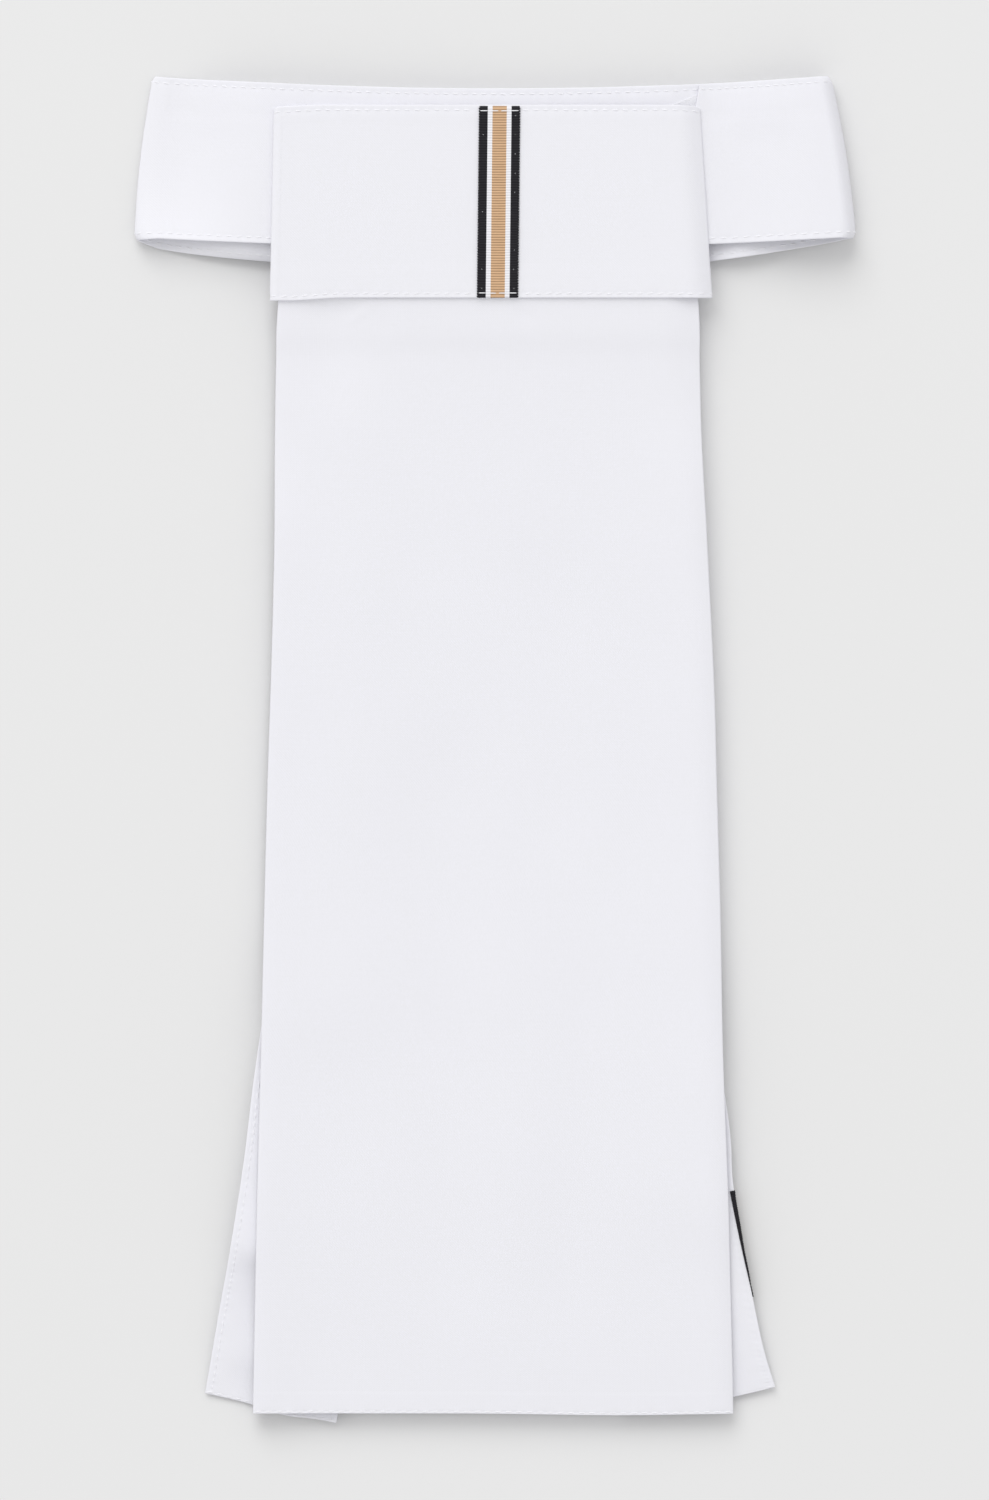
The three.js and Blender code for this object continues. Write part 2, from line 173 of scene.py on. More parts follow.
# %% Recipes
class Recipe:
    """One material and its nodes."""

    def __init__(self, name):
        self.material = bpy.data.materials.new(name)
        self.material.use_nodes = True
        self.tree = self.material.node_tree
        self.shader = self.tree.nodes["Principled BSDF"]

    def node(self, kind, settings=None, values=None, output=0):
        """Adds a node: its settings first, then the value or link of each socket. Gives one output."""
        made = self.tree.nodes.new(kind)
        for name, setting in (settings or {}).items():
            if name == "stops":
                self.set_stops(made.color_ramp, setting)
            else:
                setattr(made, name, setting)
        for name, value in (values or {}).items():
            self.join(value, made.inputs[name])
        return Wire(self, made.outputs[output])

    def set_stops(self, ramp, stops):
        """Hard stops: each colour holds from its place to the next."""
        ramp.interpolation = "CONSTANT"
        while len(ramp.elements) < len(stops):
            ramp.elements.new(1.0)
        for element, (place, colour) in zip(ramp.elements, stops):
            element.position = place
            element.color = (*colour, 1)

    def join(self, value, socket):
        """Links a wire to a socket, or sets its value. A fixed colour is three numbers."""
        if isinstance(value, Wire):
            self.tree.links.new(value.socket, socket)
        elif socket.type == "RGBA":
            socket.default_value = (*value, 1)
        else:
            socket.default_value = value

    def finish(self, **sockets):
        """Sets the shader's own sockets by name, with _ for a space, and gives the material."""
        for name, value in sockets.items():
            self.join(value, self.shader.inputs[name.replace("_", " ")])
        return self.material

    def let_light_through(self, share, colour, normal):
        """Mixes the shader with one that passes light on to the other side."""
        beyond = self.node("ShaderNodeBsdfTranslucent", {}, {"Color": colour, "Normal": normal})
        surface = Wire(self, self.shader.outputs[0])
        mixed = self.node("ShaderNodeMixShader", {}, {0: share, 1: surface, 2: beyond})
        self.join(mixed, self.tree.nodes["Material Output"].inputs["Surface"])

    def blend(self, share, first, second):
        """A colour between two colours, which may be fixed or wires."""
        values = {0: share, 6: first, 7: second}
        return self.node("ShaderNodeMix", {"data_type": "RGBA"}, values, output=2)

    def along_cloth(self):
        """Millimetres along and across the cloth, as two wires."""
        place = self.node("ShaderNodeAttribute", {"attribute_name": "cloth"}, output=1)
        parts = [self.node("ShaderNodeSeparateXYZ", {}, {0: place}, output=axis) for axis in (0, 1)]
        return place, parts[0], parts[1]

    def noise(self, place, stretch, scale, detail=2.0):
        """Soft noise, with the place stretched before it is looked up. scale is in cells for each mm."""
        moved = self.node("ShaderNodeVectorMath", {"operation": "MULTIPLY"}, {0: place, 1: stretch})
        values = {"Vector": moved, "Scale": scale, "Detail": detail}
        return self.node("ShaderNodeTexNoise", {}, values)

    def bump(self, height, strength, depth_mm):
        values = {"Height": height, "Strength": strength, "Distance": depth_mm * MM}
        return self.node("ShaderNodeBump", {}, values)


print("a recipe knows", ", ".join(name for name in vars(Recipe) if not name.startswith("_")))

# %% [markdown]
# ## Cotton
# The cloth is a fine plain-weave shirting cotton, pressed and bright white, with the faint blue of
# whitened cloth. Up close each yarn goes over and under the next, a third of a millimetre apart, and some
# yarns are a little thicker for a few centimetres. A sine each way makes the weave, and noise stretched
# along each way makes the uneven yarns. A little light comes through such cloth, slightly bluer, and
# lights the inside of the loop, so the shader is mixed with one that passes light on. The long folds and
# the stitches are real shapes, so they aren't in here.

# %% White cotton
YARN = 0.36
LIGHT_THROUGH = 0.12
THROUGH_CLOTH = (0.83, 0.82, 0.98)
COTTON_LIGHT = (0.942, 0.941, 0.98)
COTTON_SHADE = (0.922, 0.921, 0.96)


def cotton_material():
    recipe = Recipe("white_cotton")
    place, run, across = recipe.along_cloth()
    weave = (run * (math.pi / YARN)).sine() * (across * (math.pi / YARN)).sine()
    warp = recipe.noise(place, (0.04, 2.2, 1.0), 1.0)
    weft = recipe.noise(place, (2.2, 0.04, 1.0), 1.0)
    cloudy = recipe.noise(place, (1.0, 1.0, 1.0), 0.035)
    uneven = (warp + weft) * 0.5
    share = cloudy * 0.5 + uneven * 0.5
    height = weave * 0.35 + uneven * 1.6
    colour = recipe.blend(share, COTTON_SHADE, COTTON_LIGHT)
    normal = recipe.bump(height, 0.35, 0.05)
    recipe.let_light_through(LIGHT_THROUGH, THROUGH_CLOTH, normal)
    return recipe.finish(
        Base_Color=colour,
        Roughness=0.8 + (uneven - 0.5) * 0.2,
        Normal=normal,
        Specular_IOR_Level=0.3,
    )


cotton = cotton_material()
print("cotton has", len(cotton.node_tree.nodes), "nodes")

# %% [markdown]
# ## Thread, ribbon and fastening tape
# The sewing thread is twisted, a little shinier than the cloth. The grosgrain ribbon is woven in colours,
# so its stripes are sharp. The groove between two ribs gets painted shade: a darker copy of its own
# stripe's colour. Two ramps with hard stops, looked up across the ribbon, hold the rib colours and the
# painted groove shades, and a wave along the ribbon chooses between them. The fastening tape has a short
# matt pile, roughened by noise at the size of its loops.

# %% Thread
THREAD_WHITE = (0.92, 0.918, 0.95)
THREAD_TWIST = 0.5


def thread_material():
    recipe = Recipe("white_thread")
    _, run, across = recipe.along_cloth()
    twist = ((run + across) * (2 * math.pi / THREAD_TWIST)).sine()
    return recipe.finish(
        Base_Color=THREAD_WHITE,
        Roughness=0.6 + twist * 0.08,
        Normal=recipe.bump(twist, 0.3, 0.03),
        Sheen_Weight=0.1,
    )


thread = thread_material()
print("thread has", len(thread.node_tree.nodes), "nodes")

# %% Striped ribbon
RIBBON_WIDTH = 11.4
RIBBON_BLACK = (0.014, 0.013, 0.017)
RIBBON_WHITE = (0.87, 0.865, 0.9)
RIBBON_TAN = (0.76, 0.497, 0.294)
# Painted shade for the grooves between ribs: darker copies of the three stripe colours.
BLACK_GROOVE_SHADE = (0.006, 0.005, 0.008)
WHITE_GROOVE_SHADE = (0.74, 0.735, 0.765)
TAN_GROOVE_SHADE = (0.26, 0.155, 0.086)
EDGE_STRIPE = 2.4
WHITE_STRIPE = 1.3
RIB_PITCH = 0.74


def stripes(recipe, across, edge, gap, middle):
    """The stripes from one selvedge to the other, each in its own colour."""
    widths = [EDGE_STRIPE, WHITE_STRIPE, RIBBON_WIDTH - 2 * (EDGE_STRIPE + WHITE_STRIPE), WHITE_STRIPE]
    colours = [edge, gap, middle, gap, edge]
    stops = [(sum(widths[:i]) / RIBBON_WIDTH, colour) for i, colour in enumerate(colours)]
    return recipe.node("ShaderNodeValToRGB", {"stops": stops}, {0: across * (1 / RIBBON_WIDTH)})


def ribbon_material():
    recipe = Recipe("striped_ribbon")
    place, run, across = recipe.along_cloth()
    ribs = stripes(recipe, across, RIBBON_BLACK, RIBBON_WHITE, RIBBON_TAN)
    # The ramp of painted shade that darkens the grooves between the ribs.
    painted_groove_shade = stripes(recipe, across, BLACK_GROOVE_SHADE, WHITE_GROOVE_SHADE, TAN_GROOVE_SHADE)
    uneven = recipe.noise(place, (1.4, 0.25, 1.0), 1.0)
    between = 1 - (run * (math.pi / RIB_PITCH)).cosine().size()
    groove = between * between
    return recipe.finish(
        Base_Color=recipe.blend(groove + uneven * 0.3, ribs, painted_groove_shade),
        Roughness=0.62 + uneven * 0.15,
        Normal=recipe.bump(recipe.noise(place, (9.0, 1.5, 1.0), 1.0), 0.3, 0.04),
        Specular_IOR_Level=0.25,
    )


ribbon = ribbon_material()
print("ribbon has", len(ribbon.node_tree.nodes), "nodes")

# %% Fastening tape and floor
PILE_LIGHT = (0.9, 0.9, 0.94)
PILE_SHADE = (0.8, 0.8, 0.84)


def pile_material():
    recipe = Recipe("fastening_tape")
    place, _, _ = recipe.along_cloth()
    loops = recipe.noise(place, (1.0, 1.0, 1.0), 2.6, 4.0)
    return recipe.finish(
        Base_Color=recipe.blend(loops, PILE_SHADE, PILE_LIGHT),
        Roughness=0.95,
        Normal=recipe.bump(loops, 0.8, 0.3),
        Sheen_Weight=0.3,
    )


pile = pile_material()
paper = Recipe("floor").finish(Base_Color=FLOOR_TONE, Roughness=0.95, Specular_IOR_Level=0.0)
floor.data.materials.append(paper)
print("tape has", len(pile.node_tree.nodes), "nodes")

# %% [markdown]
# ## Cloth as a shape
# Every piece of the cravat is a strip: a place `s` from 0 to 1 along it and a place `t` from 0 to 1 across
# it give a point in the middle of its thickness. A subdivided plane with modifiers could be bent into the
# same forms, but a formula for the strip keeps its edges and its stitches exactly where a table of sizes
# says.

# %% Small maths for strips
def mix(first, second, share):
    return first + (second - first) * share


def ease(value, start, end):
    share = np.clip((value - start) / (end - start), 0, 1)
    return share * share * (3 - 2 * share)


def table(columns, *rows):
    """Rows of numbers, looked up by the names of their columns."""
    return [dict(zip(columns, row)) for row in rows]


def along(rows, column, s):
    """A column of a table between its rows, on a smooth curve through them."""
    values = np.array([row[column] for row in rows], float)
    padded = np.pad(values, 1, mode="edge")
    slopes = (padded[2:] - padded[:-2]) / 2
    place = np.clip(s, 0, 1) * (len(values) - 1)
    row = np.minimum(place.astype(int), len(values) - 2)
    t = place - row
    before = values[row] * (2 * t**3 - 3 * t**2 + 1) + slopes[row] * (t**3 - 2 * t**2 + t)
    after = values[row + 1] * (3 * t**2 - 2 * t**3) + slopes[row + 1] * (t**3 - t**2)
    return before + after


def points(x, y, z):
    return np.stack(np.broadcast_arrays(x, y, z), axis=-1).astype(float)


def leg_shares(run, legs):
    """A folded strip is a chain of legs. How much of each leg lies behind a place on it."""
    starts = np.cumsum([0, *legs])
    return [np.clip((run - start) / leg, 0, 1) for start, leg in zip(starts, legs)]


def unit(vectors):
    return vectors / np.maximum(np.linalg.norm(vectors, axis=-1, keepdims=True), 1e-9)


print("half way of ease:", float(ease(0.5, 0, 1)))

# %% [markdown]
# ## Seams and edges
# A row of stitches pulls two plies together. The cloth dips along the row, most of all at the needle
# holes, and the turned edge outside it stands up a little. A soft edge rolls down towards what it lies on,
# so no gap shows under it. Those shapes catch the light all along every edge, so they are made in the mesh
# and not with a bump. A `Cloth` knows its middle surface, its thickness, its seams and its rolled edges.

# %% Sizes of seams and edges
STITCH_PITCH = 2.75
SEAM_DIP = 0.11
SEAM_SPREAD = 0.75
EDGE_PUFF = 0.012
EDGE_THIN = 0.015
EDGE_REACH = 0.6
PUCKER = 0.035
PUCKER_SPREAD = 1.6
PUCKER_BEAT = 0.31
PROBE = 0.2
print("a seam dips by", SEAM_DIP, "mm")

# %% A strip of cloth with its seams
class Cloth:
    """A strip whose middle is at(s, t) in mm. A seam says which edge it follows and how far inside."""

    def __init__(self, at, thickness, seams=(), thin=(), roll=None, relief=None, ring=False, width=None):
        self.at = at
        self.half = thickness / 2
        self.seams = seams
        self.thin = thin
        self.roll = roll
        self.relief = relief
        self.ring = ring
        fine = np.linspace(0, 1, 2001)
        path = at(fine, np.full_like(fine, 0.5))
        self.length = float(np.linalg.norm(np.diff(path, axis=0), axis=1).sum())
        self.fixed_width = width
        self.width = float(self.width_at(fine).mean())

    def width_at(self, s):
        if self.fixed_width:
            return np.full(np.shape(s), float(self.fixed_width))
        return np.linalg.norm(self.at(s, np.ones_like(s)) - self.at(s, np.zeros_like(s)), axis=-1)

    def measures(self, edge, s, t):
        """Distance from an edge, and the run along it."""
        width = self.width_at(s)
        if edge == "low":
            return t * width, s * self.length
        if edge == "high":
            return (1 - t) * width, s * self.length
        if edge == "start":
            return s * self.length, t * self.width
        return (1 - s) * self.length, t * self.width

    def stitch_count(self, seam):
        total = self.length if seam["edge"] in ("low", "high") else self.width
        return max(round(total / seam.get("pitch", STITCH_PITCH)), 1), total

    def directions(self, s, t):
        """Which way the strip runs, its side and its outer face, at each place."""
        ahead = PROBE / self.length
        aside = PROBE / self.width
        before = s - ahead if self.ring else np.maximum(s - ahead, 0)
        after = s + ahead if self.ring else np.minimum(s + ahead, 1)
        run = unit(self.at(after, t) - self.at(before, t))
        side = unit(self.at(s, np.minimum(t + aside, 1)) - self.at(s, np.maximum(t - aside, 0)))
        return run, side, unit(np.cross(run, side))

    def rolled(self, s, t):
        """How much the half thickness grows towards rolled edges."""
        nearest = np.zeros(np.broadcast(s, t).shape)
        if self.roll is None:
            return nearest
        for edge in self.roll["edges"]:
            distance, _ = self.measures(edge, s, t)
            nearest = np.maximum(nearest, 1 - np.clip(distance / self.roll["reach"], 0, 1))
        return self.roll["depth"](self.at(s, t)) * nearest**2

    def middle(self, s, t):
        """The middle of the thickness, lower at a rolled edge, so that the upper face stays level."""
        return self.at(s, t) - points(0, 0, self.rolled(s, t))

    def half_thickness(self, s, t):
        total = self.half + self.rolled(s, t)
        for edge in self.thin:
            distance, _ = self.measures(edge["edge"], s, t)
            near = 1 - np.clip(distance / edge.get("reach", EDGE_REACH), 0, 1)
            total = total - edge.get("depth", EDGE_THIN) * near**2
        for seam in self.seams:
            distance, run = self.measures(seam["edge"], s, t)
            count, length = self.stitch_count(seam)
            beat = np.cos(2 * np.pi * run * count / length)
            wander = np.cos(2 * np.pi * run * round(count * PUCKER_BEAT) / length)
            off = distance - seam["inset"]
            total = total - SEAM_DIP * (0.5 + 0.5 * beat) * np.exp(-((off / SEAM_SPREAD) ** 2))
            total = total + PUCKER * wander * np.exp(-((off / PUCKER_SPREAD) ** 2))
            puffed = (distance - seam["inset"] * 0.5) / (seam["inset"] * 0.35)
            total = total + EDGE_PUFF * np.exp(-(puffed**2))
        if self.relief is not None:
            total = total + self.relief(self, s, t)
        return total

    def face(self, s, t, side, lift):
        """A point on the outer face, or with side -1 the inner one, and the way out of it."""
        _, _, out = self.directions(s, t)
        depth = self.half_thickness(s, t) + lift
        return self.middle(s, t) + out * (side * depth)[..., None], out * side


print("a strip knows", ", ".join(name for name in vars(Cloth) if not name.startswith("_")))

# %% [markdown]
# ## From strip to mesh
# The strip becomes one closed body: a grid for its outer face, a second for its inner face, and a rounded
# rim that joins them all the way round. Rows of the grid lie close together beside a stitched edge and far
# apart where the cloth is plain. Each vertex also keeps its place in the cloth in mm, for the weave.

# %% Grid places
NEAR_EDGE = (0.0, 0.25, 0.5, 0.75, 1.0, 1.3, 1.6, 2.0, 2.5, 3.2)
RIM_STEPS = 6
RIM_BULGE = 0.45


def places(length, half, step, fine_start, fine_end):
    """Distances along a strip from rim to rim, close together near the edges that are stitched."""
    start = np.array(NEAR_EDGE if fine_start else (0.0,)) + half * RIM_BULGE
    end = length - half * RIM_BULGE - np.array(NEAR_EDGE if fine_end else (0.0,))[::-1]
    count = max(int((end[0] - start[-1]) / step), 1)
    return np.concatenate([start[:-1], np.linspace(start[-1], end[0], count + 1), end[1:]]) / length


def grid_quads(rows, columns, ring):
    """Quads of a grid of points, facing out where its rows run ahead and its columns to the side."""
    i = np.arange(rows if ring else rows - 1)[:, None]
    j = np.arange(columns - 1)[None, :]
    first = i * columns + j
    second = ((i + 1) % rows) * columns + j
    return np.stack([first, second, second + 1, first + 1], axis=-1).reshape(-1, 4)


print("steps near an edge in mm:", NEAR_EDGE)

# %% Rims
def edge_loops(rows, columns, ring):
    """The grid's borders as loops of (row, column, ahead, aside), where the last two point outwards."""
    if ring:
        high = [(i, columns - 1, 0, 1) for i in range(rows)]
        low = [(i, 0, 0, -1) for i in reversed(range(rows))]
        return [high, low]
    start = [(0, j, -1, 0) for j in range(1, columns - 1)]
    high = [(i, columns - 1, 0, 1) for i in range(1, rows - 1)]
    end = [(rows - 1, j, 1, 0) for j in reversed(range(1, columns - 1))]
    low = [(i, 0, 0, -1) for i in reversed(range(1, rows - 1))]
    corners = [(0, 0, -1, -1), (0, columns - 1, -1, 1), (rows - 1, columns - 1, 1, 1), (rows - 1, 0, 1, -1)]
    return [[corners[0], *start, corners[1], *high, corners[2], *end, corners[3], *low]]


def rim_parts(loop, grid, bulge, top, low, first_index):
    """The points and quads of one rounded rim. grid holds middle, run, side, out and half."""
    i, j, ahead, aside = np.array(loop).T
    middle, run, side, out, half = (values[i, j] for values in grid)
    outward = unit(np.cross(side, out)) * ahead[:, None] + unit(np.cross(out, run)) * aside[:, None]
    outward = unit(outward)
    angles = np.pi * np.arange(1, RIM_STEPS) / RIM_STEPS
    new = [middle + outward * bulge * np.sin(a) + out * half[:, None] * np.cos(a) for a in angles]
    count = len(loop)
    rings = [top[i, j], *(first_index + k * count + np.arange(count) for k in range(len(new))), low[i, j]]
    quads = [
        np.stack([a, np.roll(a, -1), np.roll(b, -1), b], axis=-1) for a, b in zip(rings, rings[1:])
    ]
    return np.concatenate(new), np.concatenate(quads), np.tile(np.stack([i, j], axis=-1), (len(new), 1))


print("a rim has", RIM_STEPS, "steps")

# %% Meshes
def add_object(name, vertices, faces, cloth_places, material):
    """One object from points in mm. cloth_places are mm along and across the cloth."""
    mesh = bpy.data.meshes.new(name)
    mesh.from_pydata((vertices * MM).tolist(), [], faces.tolist())
    flat = np.zeros((len(vertices), 3), np.float32)
    flat[:, :2] = cloth_places
    mesh.attributes.new("cloth", "FLOAT_VECTOR", "POINT").data.foreach_set("vector", flat.ravel())
    mesh.polygons.foreach_set("use_smooth", np.full(len(mesh.polygons), True))
    mesh.materials.append(material)
    mesh.update()
    made = bpy.data.objects.new(name, mesh)
    scene.collection.objects.link(made)
    return made


def cloth_mesh(name, cloth, s_places, t_places, material):
    s, t = np.meshgrid(s_places, t_places, indexing="ij")
    run, side, out = cloth.directions(s, t)
    middle = cloth.middle(s, t)
    half = cloth.half_thickness(s, t)
    bulge = cloth.half * RIM_BULGE
    rows, columns = s.shape
    top = np.arange(rows * columns).reshape(rows, columns)
    low = top + rows * columns
    outer = grid_quads(rows, columns, cloth.ring)
    inner = outer[:, ::-1] + rows * columns
    face_points = [middle + out * half[..., None], middle - out * half[..., None]]
    vertices = [grid.reshape(-1, 3) for grid in face_points]
    faces = [outer, inner]
    flat = np.stack([s * cloth.length, t * cloth.width], axis=-1)
    cloth_places = [flat.reshape(-1, 2), flat.reshape(-1, 2)]
    for loop in edge_loops(rows, columns, cloth.ring):
        first_index = sum(len(part) for part in vertices)
        new, quads, cells = rim_parts(loop, (middle, run, side, out, half), bulge, top, low, first_index)
        vertices.append(new)
        faces.append(quads)
        cloth_places.append(flat[cells[:, 0], cells[:, 1]])
    parts = [np.concatenate(part) for part in (vertices, faces, cloth_places)]
    return add_object(name, *parts, material)


print("mesh tools are ready")

# %% Pieces in the frame
def cloth_piece(node, suffix, cloth, s_places, t_places, material):
    """The cloth of one node, in the frame, and how it compares with the node's solid."""
    made = cloth_mesh(node + suffix, cloth, s_places, t_places, material)
    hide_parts(node)
    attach(made, "root")
    low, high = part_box(node)
    corners = np.array([v.co for v in made.data.vertices])
    off_low = (corners.min(0) - np.array(low)) / MM
    off_high = (corners.max(0) - np.array(high)) / MM
    triangles = 2 * len(made.data.polygons)
    print(made.name, triangles, "triangles, off its solid by", off_low.round(2), off_high.round(2))
    return made


print("nodes to dress:", len(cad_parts))

# %% [markdown]
# ## Stitches
# A lockstitch shows as a row of short threads, each going down into the cloth at both ends. A dashed
# texture would do from far away, but a real thread also throws a small shadow. All stitches of a piece are
# made together as arrays: five six-sided rings for each, laid on the cloth's own surface.

# %% Threads laid on a strip
THREAD_RADIUS = 0.14
STITCH_SHARE = 0.8
STITCH_LIFT = (-0.17, 0.0, 0.04, 0.0, -0.17)
STITCH_GIRTH = (0.6, 1.0, 1.05, 1.0, 0.6)
STITCH_SLANT = 0.07
STITCH_STRAY = 0.03
STITCH_STOP = 0.6
TWIST_STEPS = (0.55, 0.18)
RING_SIDES = 6
chance = np.random.default_rng(11)


def stitch_row(cloth, seam, side, keep=None):
    """Rings of points for each stitch of a seam. keep says, from its s and t, which stitches to make."""
    count, length = cloth.stitch_count(seam)
    pitch = length / count
    share = seam.get("share", STITCH_SHARE)
    middles = (np.arange(count) + 0.5) * pitch
    along_edge = seam["edge"] in ("low", "high")
    limit = 0 if cloth.ring else seam.get("stop", STITCH_STOP)
    middles = middles[(middles > limit) & (middles < length - limit)]
    offsets = np.linspace(-0.5, 0.5, len(STITCH_LIFT)) * pitch * share
    run = middles[:, None] + offsets[None, :] + chance.normal(0, STITCH_STRAY, (len(middles), 1))
    slant = seam.get("slant", STITCH_SLANT) * np.sign(offsets)[None, :]
    inset = seam["inset"] + slant + chance.normal(0, STITCH_STRAY, (len(middles), 1))
    if along_edge:
        s = run / cloth.length
        across = inset / cloth.width_at(s)
        t = across if seam["edge"] == "low" else 1 - across
    else:
        t = run / cloth.width
        s = inset / cloth.length if seam["edge"] == "start" else 1 - inset / cloth.length
    if keep is not None:
        chosen = keep(s[:, 2], t[:, 2])
        s = s[chosen]
        t = t[chosen]
    radius = seam.get("radius", THREAD_RADIUS)
    lift = np.array(STITCH_LIFT)[None, :] * (radius / THREAD_RADIUS)
    centre, out = cloth.face(s, t, side, lift)
    ahead = unit(np.gradient(centre, axis=1))
    sideways = unit(np.cross(out, ahead))
    angles = 2 * np.pi * np.arange(RING_SIDES) / RING_SIDES
    girth = radius * np.array(STITCH_GIRTH)[None, :, None]
    rings = [centre + girth * (sideways * np.cos(a) + out * np.sin(a)) for a in angles]
    return np.stack(rings, axis=2)


print("a stitch is", round(STITCH_PITCH * STITCH_SHARE, 2), "mm long")

# %% All the stitches of a piece
def stitches_object(name, rows):
    """All the stitches of a piece as one mesh."""
    rings = np.concatenate(rows)
    count, stations, sides, _ = rings.shape
    index = np.arange(rings.size // 3).reshape(count, stations, sides)
    beside = np.roll(index, -1, axis=2)
    quads = np.stack([index[:, :-1], beside[:, :-1], beside[:, 1:], index[:, 1:]], axis=-1).reshape(-1, 4)
    first = index[:, 0]
    last = index[:, -1]
    caps = []
    for a, b, c, d in ((3, 2, 1, 0), (0, 5, 4, 3)):
        caps.append(np.stack([first[:, a], first[:, b], first[:, c], first[:, d]], axis=-1))
        caps.append(np.stack([last[:, d], last[:, c], last[:, b], last[:, a]], axis=-1))
    faces = np.concatenate([quads, *caps])
    twist = np.broadcast_to(np.arange(stations)[None, :, None] * TWIST_STEPS[0], index.shape)
    around = np.broadcast_to(np.arange(sides)[None, None, :] * TWIST_STEPS[1], index.shape)
    flat = np.stack([twist.ravel(), around.ravel()], axis=-1)
    made = add_object(name, rings.reshape(-1, 3), faces, flat, thread)
    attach(made, "root")
    print(name, count, "stitches")
    return made


def sew(name, cloth, sides=(1, -1), keep=None):
    """The stitches of all the seams of a strip, on its outer face, its inner face or both."""
    rows = [stitch_row(cloth, seam, side, keep) for seam in cloth.seams for side in sides]
    return stitches_object(name, rows)


print("a stitch has", len(STITCH_LIFT), "rings of", RING_SIDES, "points")

# %% [markdown]
# ## Layers at the knot
# Where the pieces cross they lie on each other like pages. The solids are a full millimetre thick with air
# between them. Pressed cotton is thinner and lies closer, so the shown layers settle down a little inside
# their solids' room. Each height below is the middle of a layer, worked out from what lies under it.

# %% Heights of the layers
BAND_CLOTH = 0.6
PATCH_CLOTH = 0.3
PANEL_CLOTH = 0.6
TAIL_CLOTH = 0.5
RIBBON_CLOTH = 0.4
AIR = 0.1
BACK_LAYER = 0.5
LOWER_LAP = 6.2
PATCH_LAYER = LOWER_LAP + BAND_CLOTH / 2 + AIR + PATCH_CLOTH / 2
UPPER_LAP = PATCH_LAYER + PATCH_CLOTH / 2 + AIR + BAND_CLOTH / 2
KNOT_BACK = UPPER_LAP + BAND_CLOTH + AIR
PANEL_TOP = KNOT_BACK + BAND_CLOTH / 2 + AIR + PANEL_CLOTH / 2
KNOT_FRONT = PANEL_TOP + PANEL_CLOTH / 2 + AIR + BAND_CLOTH / 2
RIBBON_REST = KNOT_FRONT + BAND_CLOTH / 2 + AIR / 2 + RIBBON_CLOTH / 2
print("the ribbon's face is", round(RIBBON_REST + RIBBON_CLOTH / 2, 2), "mm up")

# %% The pile sinks at its right end
SINK = {"depth": 1.95, "start": 47, "end": 62}


def right_sink(x):
    """Under the knot's right fold there are fewer layers, so all of them slope down there."""
    share = np.clip((x - SINK["start"]) / (SINK["end"] - SINK["start"]), 0, 1)
    return SINK["depth"] * share * share * (3 - 2 * share)


print("the right fold lies", SINK["depth"], "mm lower")

# %% [markdown]
# ## Soft unevenness
# Pressed cloth is never quite flat. A few long, low waves that cross at odd angles give each piece its own
# faint lights and shades. They are far too shallow to see from the side. A displacement with a cloud
# texture would do too, but waves are simpler to keep long and low, and the stitches can follow them.

# %% Long low waves
WAVES = table(
    ("length", "angle", "height", "shift"),
    (83, 20, 1.0, 0.3),
    (57, 101, 0.7, 1.9),
    (41, 63, 0.5, 4.1),
    (31, 148, 0.35, 2.6),
)


def unevenness(x, y, height):
    """Soft waves of about this height in mm."""
    total = 0
    for wave in WAVES:
        turn = math.radians(wave["angle"])
        place = (x * math.cos(turn) + y * math.sin(turn)) * 2 * math.pi / wave["length"]
        bend = 0.6 * np.sin(place * 0.37 + wave["shift"])
        total = total + wave["height"] * np.sin(place + bend + wave["shift"])
    return total * height / sum(wave["height"] for wave in WAVES)


print("waves:", len(WAVES))

# %% [markdown]
# ## Neckband
# The neckband is a curved strip of two cotton plies over a stiffening, top-stitched along both edges.
# Pressed flat it makes a loop with a fold at each side. It is one strip here: the right front, the right
# fold, the back, the left fold, and the left front, which runs on behind the knot to the lap. The left
# fold is pressed flat, and the right one still stands up nearly a centimetre. Their heights are set one by
# one, because a simulated fold would move the outline.

# %% Sizes of the neckband
BAND = {
    "left_at_top": 96.0,
    "left_at_bottom": 101.1,
    "right_at_top": 94.1,
    "right_at_bottom": 101.1,
    "fold_bulge": 0.9,
    "top_middle": 185.0,
    "top_rise": 3.6,
    "bottom_at_fold": 143.4,
    "front_dip": 3.0,
    "back_dip": 10.4,
    "left_back_rush": 0.45,
    "lower_end": 60.0,
    "upper_end_at_top": 57.3,
    "upper_end_at_bottom": 49.0,
    "left_knee": 90,
    "right_knee": 90,
    "knee_in": 63,
    "lowered": 32,
    "left_rise": (5.6, 1.5),
    "right_rise": (9.6, 8.8),
    "corner": 0.9,
    "corner_reach": 0.045,
    "curl_left": 0.3,
    "curl_right": 0.5,
    "curl_from": 0.6,
    "curl_to": 0.85,
    "curl_end": 89.5,
}
LEFT_FOLD = 5.5
RIGHT_FOLD = 3.8
FOLD_SHAPE = 2
BACK = {
    "left_edge": 2.0,
    "right_edge": 3.4,
    "right_from": (-20, 40),
    "left_swell": 4.2,
    "right_swell": 0.6,
    "swell_starts": 0.07,
    "sunk_at_knot": 0.55,
    "sunk_at_right": 0.65,
    "sunk_at_left": 0.85,
}
CREASE_DEPTH = 0.1
CREASE_AT = 0.8
CREASE_SPREAD = 0.03
BAND_LEGS = [40.0, 14.0, 186.0, 14.0, 153.0]
BAND_SEAM = 1.6
BAND_WAVES = 0.15
print("neckband strip is about", round(sum(BAND_LEGS)), "mm long")

